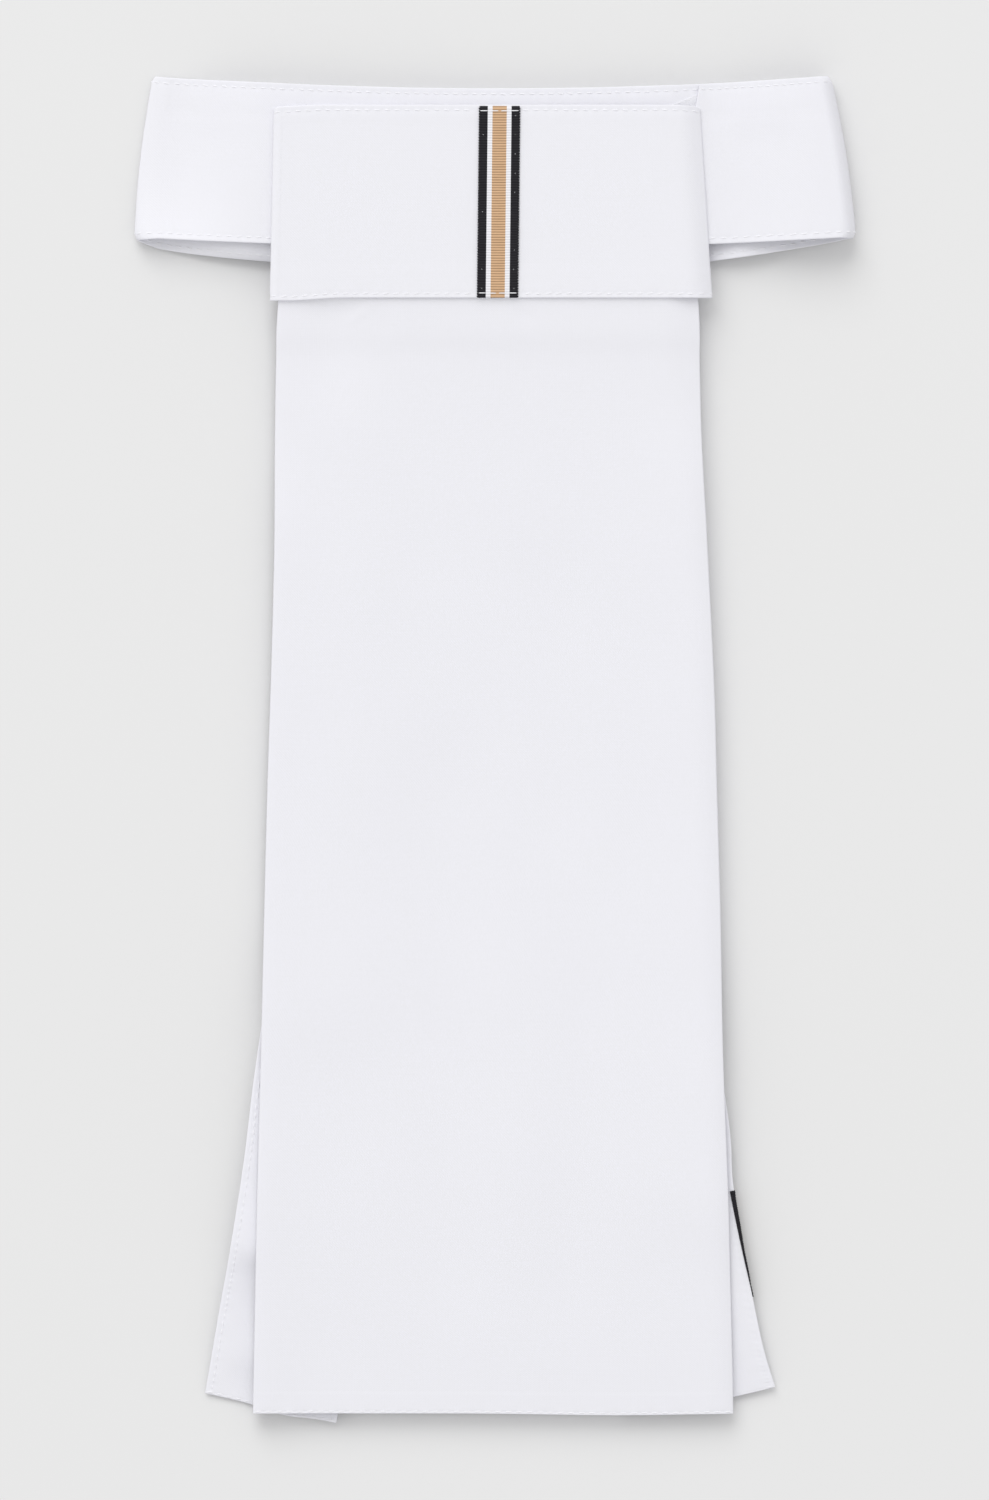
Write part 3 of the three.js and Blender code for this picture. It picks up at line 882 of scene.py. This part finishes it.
# %% Reach and heights of the neckband
def band_reach(side, t):
    name = "left" if side < 0 else "right"
    straight = mix(BAND[name + "_at_bottom"], BAND[name + "_at_top"], t)
    corner = np.clip(1 - np.minimum(t, 1 - t) / BAND["corner_reach"], 0, 1) ** 2
    return straight + BAND["fold_bulge"] * np.sin(np.pi * t) - BAND["corner"] * corner


def fold_height_at(x, t):
    """How high the front lies where it turns over: the left fold is pressed flat, the right one isn't."""
    left = BAND["left_rise"][1] + (BAND["left_rise"][0] - BAND["left_rise"][1]) * (1 - t) ** 3
    return np.where(x < 0, left, mix(*BAND["right_rise"], t))


def front_height(x, t, is_lower):
    """How high the front lies: level at the knot, where its left end comes down again to the lap."""
    at_fold = fold_height_at(x, t)
    left = mix(UPPER_LAP, at_fold, ease(-x, BAND["knee_in"], BAND["left_knee"]))
    right = mix(UPPER_LAP - right_sink(x), at_fold, ease(x, BAND["knee_in"], BAND["right_knee"]))
    lowered = mix(UPPER_LAP, LOWER_LAP, ease(x, -BAND["knee_in"], BAND["lowered"])) - right_sink(x)
    return np.where(is_lower & (x >= -BAND["knee_in"]), lowered, np.where(x < 0, left, right))


def back_height(x, t):
    """The back rests on its top edge. Its lower edge stands up near the knot, with a swell above it."""
    at_right = ease(x, *BACK["right_from"])
    edge = mix(BACK["left_edge"], BACK["right_edge"], at_right)
    swell = mix(BACK["left_swell"], BACK["right_swell"], at_right)
    swell = swell * (1 - np.exp(-t / BACK["swell_starts"])) * (1 - t) ** 2
    sunk = BACK["sunk_at_knot"] * (ease(x, 5, 42) - ease(x, 58, 70))
    sunk = sunk + BACK["sunk_at_right"] * ease(x, 76, 96) + BACK["sunk_at_left"] * ease(-x, 68, 96)
    return BACK_LAYER + (1 - sunk) * (edge * (1 - t) ** 1.3 + swell)


def front_curl(x, t):
    """Beside the knot the upper third of the front stands up a little."""
    most = np.where(x < 0, BAND["curl_left"], BAND["curl_right"])
    beside = ease(abs(x), BAND["knee_in"], BAND["knee_in"] + 8)
    beside = beside * (1 - ease(abs(x), BAND["curl_end"] - 12, BAND["curl_end"]))
    return most * beside * ease(t, BAND["curl_from"], BAND["curl_to"])


print("right fold stands up, in mm, at its bottom and top:", BAND["right_rise"])

# %% The neckband's middle surface
def neckband_at(s, t):
    run = s * sum(BAND_LEGS)
    right_front, right_fold, back, left_fold, left_front = leg_shares(run, BAND_LEGS)
    right = band_reach(1, t) - RIGHT_FOLD - BAND_CLOTH / 2
    left = -(band_reach(-1, t) - LEFT_FOLD - BAND_CLOTH / 2)
    end = mix(BAND["upper_end_at_bottom"], BAND["upper_end_at_top"], t)
    x = mix(end, right, right_front) + RIGHT_FOLD * np.sin(np.pi * right_fold)
    x = x + (left - right) * back - LEFT_FOLD * np.sin(np.pi * left_fold)
    x = x + (BAND["lower_end"] - left) * left_front
    is_right = run < sum(BAND_LEGS[:2])
    turned = np.where(is_right, np.cos(np.pi * right_fold), -np.cos(np.pi * left_fold))
    is_front = (right_fold <= 0) | (left_fold >= 1)
    front = front_height(x, t, ~is_right) + front_curl(x, t)
    fold = mix(back_height(x, t), fold_height_at(x, t), ((1 + turned) / 2) ** FOLD_SHAPE)
    z = np.where(is_front, front, fold)
    behind = right_fold - left_fold
    reach = np.minimum(abs(x) / BAND["left_at_bottom"], 1)
    back_dip = BAND["back_dip"] * np.where(x < 0, (1 - reach) ** BAND["left_back_rush"], 1 - reach**2)
    bottom = BAND["bottom_at_fold"] - mix(BAND["front_dip"] * (1 - reach**2), back_dip, behind)
    top = BAND["top_middle"] + BAND["top_rise"] * (x / BAND["left_at_top"]) ** 2
    y = mix(bottom, top, t)
    crease = CREASE_DEPTH * np.exp(-(((t - CREASE_AT) / CREASE_SPREAD) ** 2))
    return points(x, y, z + (unevenness(x, y, BAND_WAVES) - crease) * is_front)


print("it turns over", BAND_LEGS[0], "and", sum(BAND_LEGS[:3]), "mm from its start")

# %% Neckband
neckband = Cloth(
    neckband_at,
    BAND_CLOTH,
    seams=[{"edge": "low", "inset": BAND_SEAM}, {"edge": "high", "inset": BAND_SEAM}],
    thin=[{"edge": "low"}, {"edge": "high"}],
)
band_s = places(neckband.length, BAND_CLOTH / 2, 0.7, True, True)
band_t = places(neckband.width, BAND_CLOTH / 2, 1.6, True, True)
neckband_cloth = cloth_piece("neckband", "_cloth", neckband, band_s, band_t, cotton)
neckband_stitches = sew("neckband_stitches", neckband)

# %% [markdown]
# ## Closure patch
# Between the two lapped ends lies a strip of fastening tape with a short looped pile. Only a corner of it
# shows above the knot, so hair would be wasted on it. Seeded noise on a fine grid gives the loops their
# height.

# %% Closure patch
PATCH = {"left": 44, "right": 59, "top_left": 178.0, "top_right": 184.4, "bottom": 152}
PILE_HEIGHT = 0.08


def patch_at(s, t):
    x = mix(PATCH["left"], PATCH["right"], t)
    top = mix(PATCH["top_left"], PATCH["top_right"], t)
    return points(x, mix(top, PATCH["bottom"], s), PATCH_LAYER - right_sink(x))


def pile_relief(cloth, s, t):
    return PILE_HEIGHT * (np.random.default_rng(5).random(s.shape) - 0.8)


patch = Cloth(patch_at, PATCH_CLOTH, relief=pile_relief)
patch_s = places(patch.length, PATCH_CLOTH / 2, 0.35, False, False)
patch_t = places(patch.width, PATCH_CLOTH / 2, 0.35, False, False)
patch_pile = cloth_piece("closure_patch", "_pile", patch, patch_s, patch_t, pile)

# %% [markdown]
# ## Knot band
# The wide band across the front is a sleeve that stands for a knot: cotton over a soft interlining, folded
# round the panel's top and edge-stitched. At the left it turns round the pile as a half ellipse. At the
# right fewer layers lie under it, so its front bends down over the last millimetres to a tight fold. The
# strip closes on itself, so it is a ring.

# %% Sizes of the knot band
KNOT = {
    "left_at_top": -61.9,
    "left_at_bottom": -63.0,
    "right_at_top": 57.4,
    "right_at_bottom": 60.8,
    "top": 180.3,
    "bottom": 126.3,
    "left_turn": 2.4,
    "right_turn": 0.35,
    "bend_starts": 6.7,
    "bend_ends": 2.0,
    "slope": 0.68,
    "flare": 0.05,
    "flare_reach": 5.0,
    "corner": 0.9,
    "corner_reach": 1.6,
    "left_sag": 0.8,
    "top_sag": 0.5,
    "waves": 0.06,
    "hem_step": 0.05,
}
KNOT_MIDDLE = (KNOT_FRONT + KNOT_BACK) / 2
KNOT_LEGS = [118.0, 1.2, 118.0, 5.2]
KNOT_STEPS = [170, 8, 90, 12]
print("knot band goes round", sum(KNOT_LEGS), "mm")

# %% The knot band's middle surface
def right_drop(distance):
    """How far the front has bent down at a distance from its right fold."""
    bend = KNOT["bend_starts"] - KNOT["bend_ends"]
    bent = np.clip((KNOT["bend_starts"] - distance) / bend, 0, 1)
    return KNOT["slope"] * (bend * bent**2 / 2 + np.maximum(KNOT["bend_ends"] - distance, 0))


def knot_flare(y):
    """The open lower edge stands up a little from the panel."""
    near = 1 - np.clip((y - KNOT["bottom"]) / KNOT["flare_reach"], 0, 1)
    return KNOT["flare"] * near**2


def knot_at(s, t):
    run = (s % 1) * sum(KNOT_LEGS)
    front, right_turn, back, left_turn = leg_shares(run, KNOT_LEGS)
    left = mix(KNOT["left_at_bottom"], KNOT["left_at_top"], t) + BAND_CLOTH / 2 + KNOT["left_turn"]
    edge = mix(KNOT["right_at_bottom"], KNOT["right_at_top"], t)
    right = edge - BAND_CLOTH / 2 - KNOT["right_turn"]
    x = mix(left, right, front - back) + KNOT["right_turn"] * np.sin(np.pi * right_turn)
    x = x - KNOT["left_turn"] * np.sin(np.pi * left_turn)
    risen = np.where(run < sum(KNOT_LEGS[:3]), np.cos(np.pi * right_turn), -np.cos(np.pi * left_turn))
    low = KNOT["bottom"] - KNOT["left_sag"] * ease(-x, 42, 58)
    from_side = np.minimum(edge - x, x - left + BAND_CLOTH / 2 + KNOT["left_turn"])
    corner = np.clip(1 - from_side / KNOT["corner_reach"], 0, 1) ** 2
    high = KNOT["top"] - KNOT["top_sag"] * ease(abs(x), 48, 62) - KNOT["corner"] * corner
    y = mix(low, high, t)
    z_front = KNOT_FRONT - right_drop(edge - x) + knot_flare(y) + unevenness(x, y, KNOT["waves"])
    return points(x, y, mix(KNOT_BACK - right_sink(x), z_front, (1 + risen) / 2))


def knot_hem(cloth, s, t):
    """The turned hems inside show as a faint step."""
    from_low, _ = cloth.measures("low", s, t)
    from_high, _ = cloth.measures("high", s, t)
    low_hem = KNOT["hem_step"] * (1 - ease(from_low, 7.8, 8.4))
    return low_hem + KNOT["hem_step"] * (1 - ease(from_high, 4.0, 4.6))


print("right fold bends down by", round(float(right_drop(0)), 2), "mm")

# %% Knot band
knot = Cloth(
    knot_at,
    BAND_CLOTH,
    seams=[{"edge": "low", "inset": 1.2, "pitch": 2.8}, {"edge": "high", "inset": 1.5, "pitch": 2.84}],
    thin=[{"edge": "low"}, {"edge": "high"}],
    relief=knot_hem,
    ring=True,
)
leg_starts = np.cumsum([0, *KNOT_LEGS])
steps = [start + leg * np.arange(n) / n for start, leg, n in zip(leg_starts, KNOT_LEGS, KNOT_STEPS)]
knot_s = np.concatenate(steps) / sum(KNOT_LEGS)
knot_t = places(knot.width, BAND_CLOTH / 2, 1.4, True, True)
knot_cloth = cloth_piece("knot_band", "_cloth", knot, knot_s, knot_t, cotton)
RIBBON_X = (0.7, 1.3)
RIBBON_MARGIN = 0.8


def beside_ribbon(s, t):
    """Stitches that don't cross the ribbon."""
    place = knot_at(s, t)
    off_middle = abs(place[:, 0] - sum(RIBBON_X) / 2)
    return (off_middle > RIBBON_WIDTH / 2 + RIBBON_MARGIN) | (place[:, 2] < KNOT_MIDDLE)


knot_stitches = sew("knot_band_stitches", knot, sides=(1,), keep=beside_ribbon)

# %% [markdown]
# ## Ribbon down the knot
# Grosgrain has thick weft ribs across it and a tiny scallop along each selvedge where every weft turns
# back. The stripes here are a plain symmetric set: a tan middle, a white gap and a dark edge on each side.
# A bump can't change an outline, so each rib is a wave of the mesh, and the selvedge is the same wave seen
# from the side. Both ends bend down at the knot band's edges, where a row of long stitches crosses them.

# %% Ribbon shapes
RIB_HEIGHT = 0.14
SCALLOP = 0.22
END_TURN = 0.75
RIBBON_TOP = KNOT["top"] - 0.35
RIBBON_BOTTOM = KNOT["bottom"] - 0.1


def knot_ribbon_at(s, t):
    y = mix(RIBBON_TOP, RIBBON_BOTTOM, s)
    from_end = np.minimum(RIBBON_TOP - y, y - RIBBON_BOTTOM)
    over = 1 - np.clip(from_end / END_TURN, 0, 1)
    z = RIBBON_REST + knot_flare(y) - END_TURN * (1 - np.sqrt(np.maximum(1 - over**2, 0)))
    x = mix(RIBBON_X[0], RIBBON_X[1], 1 - s) + (t - 0.5) * RIBBON_WIDTH
    rib = np.cos(2 * np.pi * (RIBBON_TOP - y) / RIB_PITCH)
    at_edge = np.clip((abs(t - 0.5) - 0.47) / 0.03, 0, 1) * np.sign(t - 0.5)
    return points(x + SCALLOP * rib * at_edge, y, z)


def rib_relief(cloth, s, t):
    return RIB_HEIGHT * (abs(np.cos(np.pi * s * cloth.length / RIB_PITCH)) - 0.6)


def ribbon_piece(node, cloth):
    steps = int(round(cloth.length / RIB_PITCH * 8))
    inset = cloth.half / cloth.length
    s_places = np.linspace(inset, 1 - inset, steps)
    t_places = places(RIBBON_WIDTH, cloth.half, 0.55, False, False)
    return cloth_piece(node, "_weave", cloth, s_places, t_places, ribbon)


knot_ribbon = Cloth(knot_ribbon_at, RIBBON_CLOTH, relief=rib_relief, width=RIBBON_WIDTH)
knot_ribbon_weave = ribbon_piece("knot_ribbon", knot_ribbon)

# %% Threads that hold the ribbon
SPECK = {"pitch": 5.3, "share": 0.06, "radius": 0.045, "stop": 2.0}
edge_rows = [{"edge": edge, "inset": EDGE_STRIPE / 2, **SPECK} for edge in ("low", "high")]
CROSS = {"inset": 1.4, "pitch": 2.85, "share": 0.94, "slant": 0}
cross_rows = [{"edge": edge, **CROSS} for edge in ("start", "end")]


def some_specks(s, t):
    """Only about half of the tiny threads along the edges show."""
    return chance.random(s.shape) < 0.5


rows = [stitch_row(knot_ribbon, seam, 1, some_specks) for seam in edge_rows]
rows = rows + [stitch_row(knot_ribbon, seam, 1) for seam in cross_rows]
ribbon_stitches = stitches_object("knot_ribbon_stitches", rows)

# %% [markdown]
# ## Tails
# Two narrow strips hang behind the panel and part like an upside-down V, so a corner of each shows at the
# hem. They come down from the sleeve to the table, rise again to four millimetres under the panel's lower
# half, and come down to their tips, the left one in two soft steps. Their ends bow out a little. A table
# of sections for each gives its two edges and its height, which is simpler to fit than a sagging
# simulation.

# %% Sections of the tails
TAIL_COLUMNS = ("left_x", "left_y", "right_x", "right_y", "height")
TAIL_SETTLED = 0.2
LEFT_TAIL = table(
    TAIL_COLUMNS,
    (-32.5, 136.0, 6.0, 136.0, 7.0),
    (-33.7, 128.0, 4.9, 127.0, 7.0),
    (-36.6, 109.0, 1.8, 106.0, 5.6),
    (-40.3, 85.0, -2.1, 80.0, 2.5),
    (-43.7, 63.0, -5.8, 57.2, 0.7),
    (-46.8, 43.0, -9.0, 37.2, 0.5),
    (-56.0, -17.0, -18.3, -22.8, 2.4),
    (-66.4, -84.1, -28.8, -90.0, 4.1),
    (-70.3, -114.9, -33.0, -121.0, 4.4),
    (-74.2, -140.0, -36.8, -147.0, 3.8),
    (-77.4, -158.0, -40.2, -166.0, 2.4),
    (-81.2, -180.3, -44.5, -188.6, 0.9),
)
RIGHT_TAIL = table(
    TAIL_COLUMNS,
    (-19.7, 136.0, 19.0, 136.0, 7.8),
    (-18.1, 127.0, 20.6, 128.0, 7.8),
    (-14.0, 106.0, 24.2, 109.0, 6.8),
    (-9.0, 80.0, 28.9, 85.0, 4.3),
    (-4.7, 57.2, 33.2, 63.0, 2.2),
    (-0.7, 36.0, 37.1, 43.0, 0.7),
    (11.0, -24.2, 48.7, -17.0, 2.4),
    (26.7, -103.2, 64.2, -96.0, 3.6),
    (29.9, -128.0, 66.7, -121.6, 4.0),
    (33.2, -144.5, 70.0, -142.0, 3.8),
    (37.0, -166.5, 74.8, -166.0, 2.6),
    (41.5, -185.2, 78.5, -178.5, 1.5),
)
TIP_LIFT = 1.2
LEFT_BOW = {"most": 1.1, "x": -59.0, "width": 7.0}
RIGHT_BOW = 0.8
STEPS = {"x": -67.5, "width": 7.0, "low": 0.6, "places": (-143.5, -173.0), "drops": (2.4, 1.4), "soft": 2.0}
print("sections:", len(LEFT_TAIL), len(RIGHT_TAIL))

# %% The tails' middle surface
def stepped(x, y, height):
    """Beside the panel the left tail comes down in two soft steps instead of evenly."""
    level = STEPS["low"]
    for place, drop in zip(STEPS["places"], STEPS["drops"]):
        level = level + drop / (1 + np.exp(-(y - place) / STEPS["soft"]))
    share = np.exp(-(((x - STEPS["x"]) / STEPS["width"]) ** 2)) * ease(-y, 112, 132)
    return mix(height, level, share)


def tail_at(rows):
    def at(s, t):
        x = mix(along(rows, "left_x", s), along(rows, "right_x", s), t)
        y = mix(along(rows, "left_y", s), along(rows, "right_y", s), t)
        at_end = ease(s, 0.93, 1.0)
        left_bow = LEFT_BOW["most"] * np.exp(-(((x - LEFT_BOW["x"]) / LEFT_BOW["width"]) ** 2))
        y = y - np.where(x < 0, left_bow, RIGHT_BOW * 4 * t * (1 - t)) * at_end
        lift = TIP_LIFT * at_end * ease(t, 0.2, 0.7) * (x < 0)
        return points(x, y, stepped(x, y, along(rows, "height", s)) - TAIL_SETTLED + lift)

    return at


print("the left tail's tip is lifted by", TIP_LIFT, "mm")

# %% [markdown]
# ## Front panel
# The panel is two plies of the shirting, pressed, with plain folded sides and one stitched hem. It comes
# out of the sleeve nearly nine millimetres up, steps down just below the knot band, sinks to six
# millimetres where it lies on the tails, and comes down a little more at the hem. It could be draped by
# simulation, but then its outline would wander. So one table of sections gives its outline and height, and
# a second one the soft folds that run down it. Its edges roll down towards what lies below.

# %% Sections and folds of the panel
PANEL = table(
    ("y", "left", "right", "height"),
    (172.0, -57.0, 53.0, PANEL_TOP),
    (124.0, -60.8, 56.6, PANEL_TOP),
    (108.0, -61.3, 56.9, 7.8),
    (84.0, -61.6, 57.4, 7.2),
    (56.0, -61.8, 58.8, 6.8),
    (20.0, -62.7, 60.6, 6.5),
    (-14.0, -63.8, 61.6, 6.3),
    (-84.0, -65.5, 63.6, 6.3),
    (-126.0, -66.6, 65.2, 6.3),
    (-160.0, -67.3, 66.1, 5.6),
    (-185.8, -67.8, 66.6, 4.7),
)
PANEL_FOLDS = table(
    ("from_x", "from_y", "to_x", "to_y", "height", "width", "fade"),
    (-42, 118, -44, -95, 0.7, 16, 30),
    (-14, 15, -10, -170, -0.7, 13, 30),
    (14, 75, 20, -40, -0.5, 11, 30),
    (26, -50, 20, -175, -0.4, 10, 30),
    (58, 100, 66, -150, 0.8, 18, 30),
    (-64, 90, -69, -216, 1.1, 12, 30),
    (-34, 126, -42, 117, 0.12, 1.6, 5),
    (-33, 126, -31, 112, -0.12, 2.4, 7),
    (8, 126, 9, 116, -0.15, 3.0, 6),
)


def fold_height(folds, x, y):
    """How high a set of folds stands: each runs from one point down to another and fades at its ends."""
    total = 0
    for fold in folds:
        down = np.clip((fold["from_y"] - y) / (fold["from_y"] - fold["to_y"]), 0, 1)
        middle = mix(fold["from_x"], fold["to_x"], down)
        present = ease(y, fold["to_y"], fold["to_y"] + fold["fade"])
        present = present * (1 - ease(y, fold["from_y"] - fold["fade"], fold["from_y"]))
        total = total + fold["height"] * present * np.exp(-(((x - middle) / fold["width"]) ** 2))
    return total


print("the panel has", len(PANEL_FOLDS), "folds and creases")

# %% Sizes of the panel's edges
HEM_DEPTH = 10.9
HEM_STEP = 0.035
HEM_BLUR = 0.6
LEFT_DROOP = 0.05
RIGHT_DROOP = 1.0
LEFT_REACH = 3.6
RIGHT_REACH = 6.0
MOST_ROLL = 3.0
ROLL_GAP = 0.4
TAIL_RISE = 0.2
PANEL_WAVES = 0.15
HEM_BOW = {"most": 0.5, "x": 35, "width": 26}
STEP_DOWN = {"height": 0.35, "reach": 2.5, "fades": 30, "dip": 1.2, "dip_x": -46.0, "dip_width": 9.0}
print("hem is", HEM_DEPTH, "mm deep")

# %% The panel's middle surface
def step_down(x, y):
    """Just below the knot's edge the panel steps down from the pile, most of all left of the middle."""
    below = np.maximum(KNOT["bottom"] - y, 0)
    dip = STEP_DOWN["dip"] * np.exp(-(((x - STEP_DOWN["dip_x"]) / STEP_DOWN["dip_width"]) ** 2))
    gone = (1 - np.exp(-below / STEP_DOWN["reach"])) * np.exp(-below / STEP_DOWN["fades"])
    return (STEP_DOWN["height"] + dip) * gone


def panel_at(s, t):
    x = mix(along(PANEL, "left", s), along(PANEL, "right", s), t)
    bow = HEM_BOW["most"] * np.exp(-(((x - HEM_BOW["x"]) / HEM_BOW["width"]) ** 2))
    y = along(PANEL, "y", s) - bow * ease(s, 0.9, 1.0)
    z = along(PANEL, "height", s) + fold_height(PANEL_FOLDS, x, y) - step_down(x, y)
    free = ease(-y, -124, -60)
    width = along(PANEL, "right", s) - along(PANEL, "left", s)
    droop = LEFT_DROOP * (1 - np.clip(t * width / LEFT_REACH, 0, 1)) ** 2
    droop = droop + RIGHT_DROOP * (1 - np.clip((1 - t) * width / RIGHT_REACH, 0, 1)) ** 2
    uneven = unevenness(x, y, PANEL_WAVES)
    return points(x, y, z - right_sink(x) * (1 - free) + (uneven - droop) * free)


def panel_hem(cloth, s, t):
    distance, _ = cloth.measures("end", s, t)
    return HEM_STEP * (1 - ease(distance, HEM_DEPTH - HEM_BLUR, HEM_DEPTH + HEM_BLUR))


def tail_top(rows, column, y):
    """How high the upper face of a tail lies along one of its edges."""
    return np.interp(-y, [-row[column] for row in rows], [row["height"] for row in rows]) + TAIL_RISE


def under_panel(x, y):
    """How high the tails lie under the panel's edges."""
    left = tail_top(LEFT_TAIL, "left_y", y) + TIP_LIFT * ease(-y, 172, 184)
    right = tail_top(RIGHT_TAIL, "right_y", y)
    return left * ease(-x, 38, 44) * ease(-y, 30, 80) + right * ease(x, 34, 40) * ease(-y, 40, 90)


def roll_depth(place):
    """The soft edges reach down almost to what lies below."""
    x, y, z = np.moveaxis(place, -1, 0)
    return np.clip((z - PANEL_CLOTH / 2 - ROLL_GAP - under_panel(x, y)) / 2, 0, MOST_ROLL)


print("edges roll down by", MOST_ROLL, "mm at most")

# %% Front panel
panel = Cloth(
    panel_at,
    PANEL_CLOTH,
    seams=[{"edge": "end", "inset": 1.4, "pitch": 2.68}],
    thin=[
        {"edge": "low", "depth": 0.1, "reach": 2.0},
        {"edge": "high", "depth": 0.2, "reach": 2.6},
        {"edge": "end"},
    ],
    roll={"edges": ["low", "high", "end"], "depth": roll_depth, "reach": 2.8},
    relief=panel_hem,
)
upper = places(panel.length, PANEL_CLOTH / 2, 2.2, False, True)
hem_line = 1 - (HEM_DEPTH + np.array([-0.9, -0.4, 0.1, 0.7])) / panel.length
fine_places = np.linspace(0, 1, 4001)
below_knot = np.arange(8, 0, -0.5) - 0.3
step_places = np.interp(below_knot - KNOT["bottom"], -along(PANEL, "y", fine_places), fine_places)
panel_s = np.sort(np.concatenate([upper, hem_line, step_places]))
panel_t = places(panel.width, PANEL_CLOTH / 2, 0.72, True, True)
panel_cloth = cloth_piece("front_panel", "_cloth", panel, panel_s, panel_t, cotton)
panel_stitches = sew("front_panel_stitches", panel)

# %% [markdown]
# ## Both tails from one function
# Each tail is one strip with its edges turned in and top-stitched on three sides, and its top is hidden in
# the sleeve. Only the tables differ, so one function makes both. The left tail shows its stitches, and the
# right one lies the other way up, with its stitches on the underside.

# %% Tails
TAIL_SEAMS = table(("edge", "inset"), ("low", 1.7), ("high", 1.7), ("end", 1.2))


def make_tail(name, rows, sides):
    thin = [{"edge": edge, "depth": 0.1} for edge in ("low", "high", "end")]
    cloth = Cloth(tail_at(rows), TAIL_CLOTH, seams=TAIL_SEAMS, thin=thin)
    s_places = places(cloth.length, TAIL_CLOTH / 2, 0.75, False, True)
    t_places = places(cloth.width, TAIL_CLOTH / 2, 1.8, True, True)
    made = cloth_piece(name, "_cloth", cloth, s_places, t_places, cotton)
    stitches = sew(name + "_stitches", cloth, sides)
    return cloth


left_tail = make_tail("tail_left", LEFT_TAIL, (1, -1))
right_tail = make_tail("tail_right", RIGHT_TAIL, (-1,))
print("tails in mm:", round(left_tail.length, 1), round(right_tail.length, 1))

# %% [markdown]
# ## Ribbon on the right tail
# A short length of the same ribbon is folded round the right tail's outer edge. Its dark stripe shows on
# the face as a thin wedge that ends where the ribbon slips round the edge, and the rest lies behind. It is
# a strip as well, and takes its edge from the tail's own table, so the two stay together.

# %% Tail ribbon
TAIL_RIBBON = {"start": -123.4, "length": 30.0, "on_face": 1.0, "slip": 0.62, "gap": 0.03}
THIN_RIBBON = 0.3
WRAP_RADIUS = TAIL_CLOTH / 2 + TAIL_RIBBON["gap"] + THIN_RIBBON / 2
wrap_ends = -TAIL_RIBBON["start"] + np.array([0, TAIL_RIBBON["length"]])
wrap_start, wrap_end = np.interp(wrap_ends, -along(RIGHT_TAIL, "right_y", fine_places), fine_places)


def tail_ribbon_at(s, t):
    """Across the ribbon: on the face, round the edge and back along the underside."""
    place = mix(wrap_start, wrap_end, s)
    edge = points(along(RIGHT_TAIL, "right_x", place), along(RIGHT_TAIL, "right_y", place), 0)
    inner = points(along(RIGHT_TAIL, "left_x", place), along(RIGHT_TAIL, "left_y", place), 0)
    outward = unit(edge - inner)
    quarter = WRAP_RADIUS * np.pi / 2
    slipped = TAIL_RIBBON["slip"] * s**0.75 + (1 - TAIL_RIBBON["slip"]) * s**6
    reach = mix(-TAIL_RIBBON["on_face"], quarter, slipped) + t * RIBBON_WIDTH
    turn = np.clip(reach / WRAP_RADIUS, 0, np.pi)
    straight = np.minimum(reach, 0) - np.maximum(reach - 2 * quarter, 0)
    out = WRAP_RADIUS * np.sin(turn) - TAIL_CLOTH / 2 + straight
    flat = edge + outward * out[..., None]
    height = along(RIGHT_TAIL, "height", place) - TAIL_SETTLED
    return flat + points(0, 0, height + WRAP_RADIUS * np.cos(turn))


tail_ribbon = Cloth(tail_ribbon_at, THIN_RIBBON, relief=rib_relief, width=RIBBON_WIDTH)
tail_ribbon_weave = ribbon_piece("tail_ribbon", tail_ribbon)

# %% [markdown]
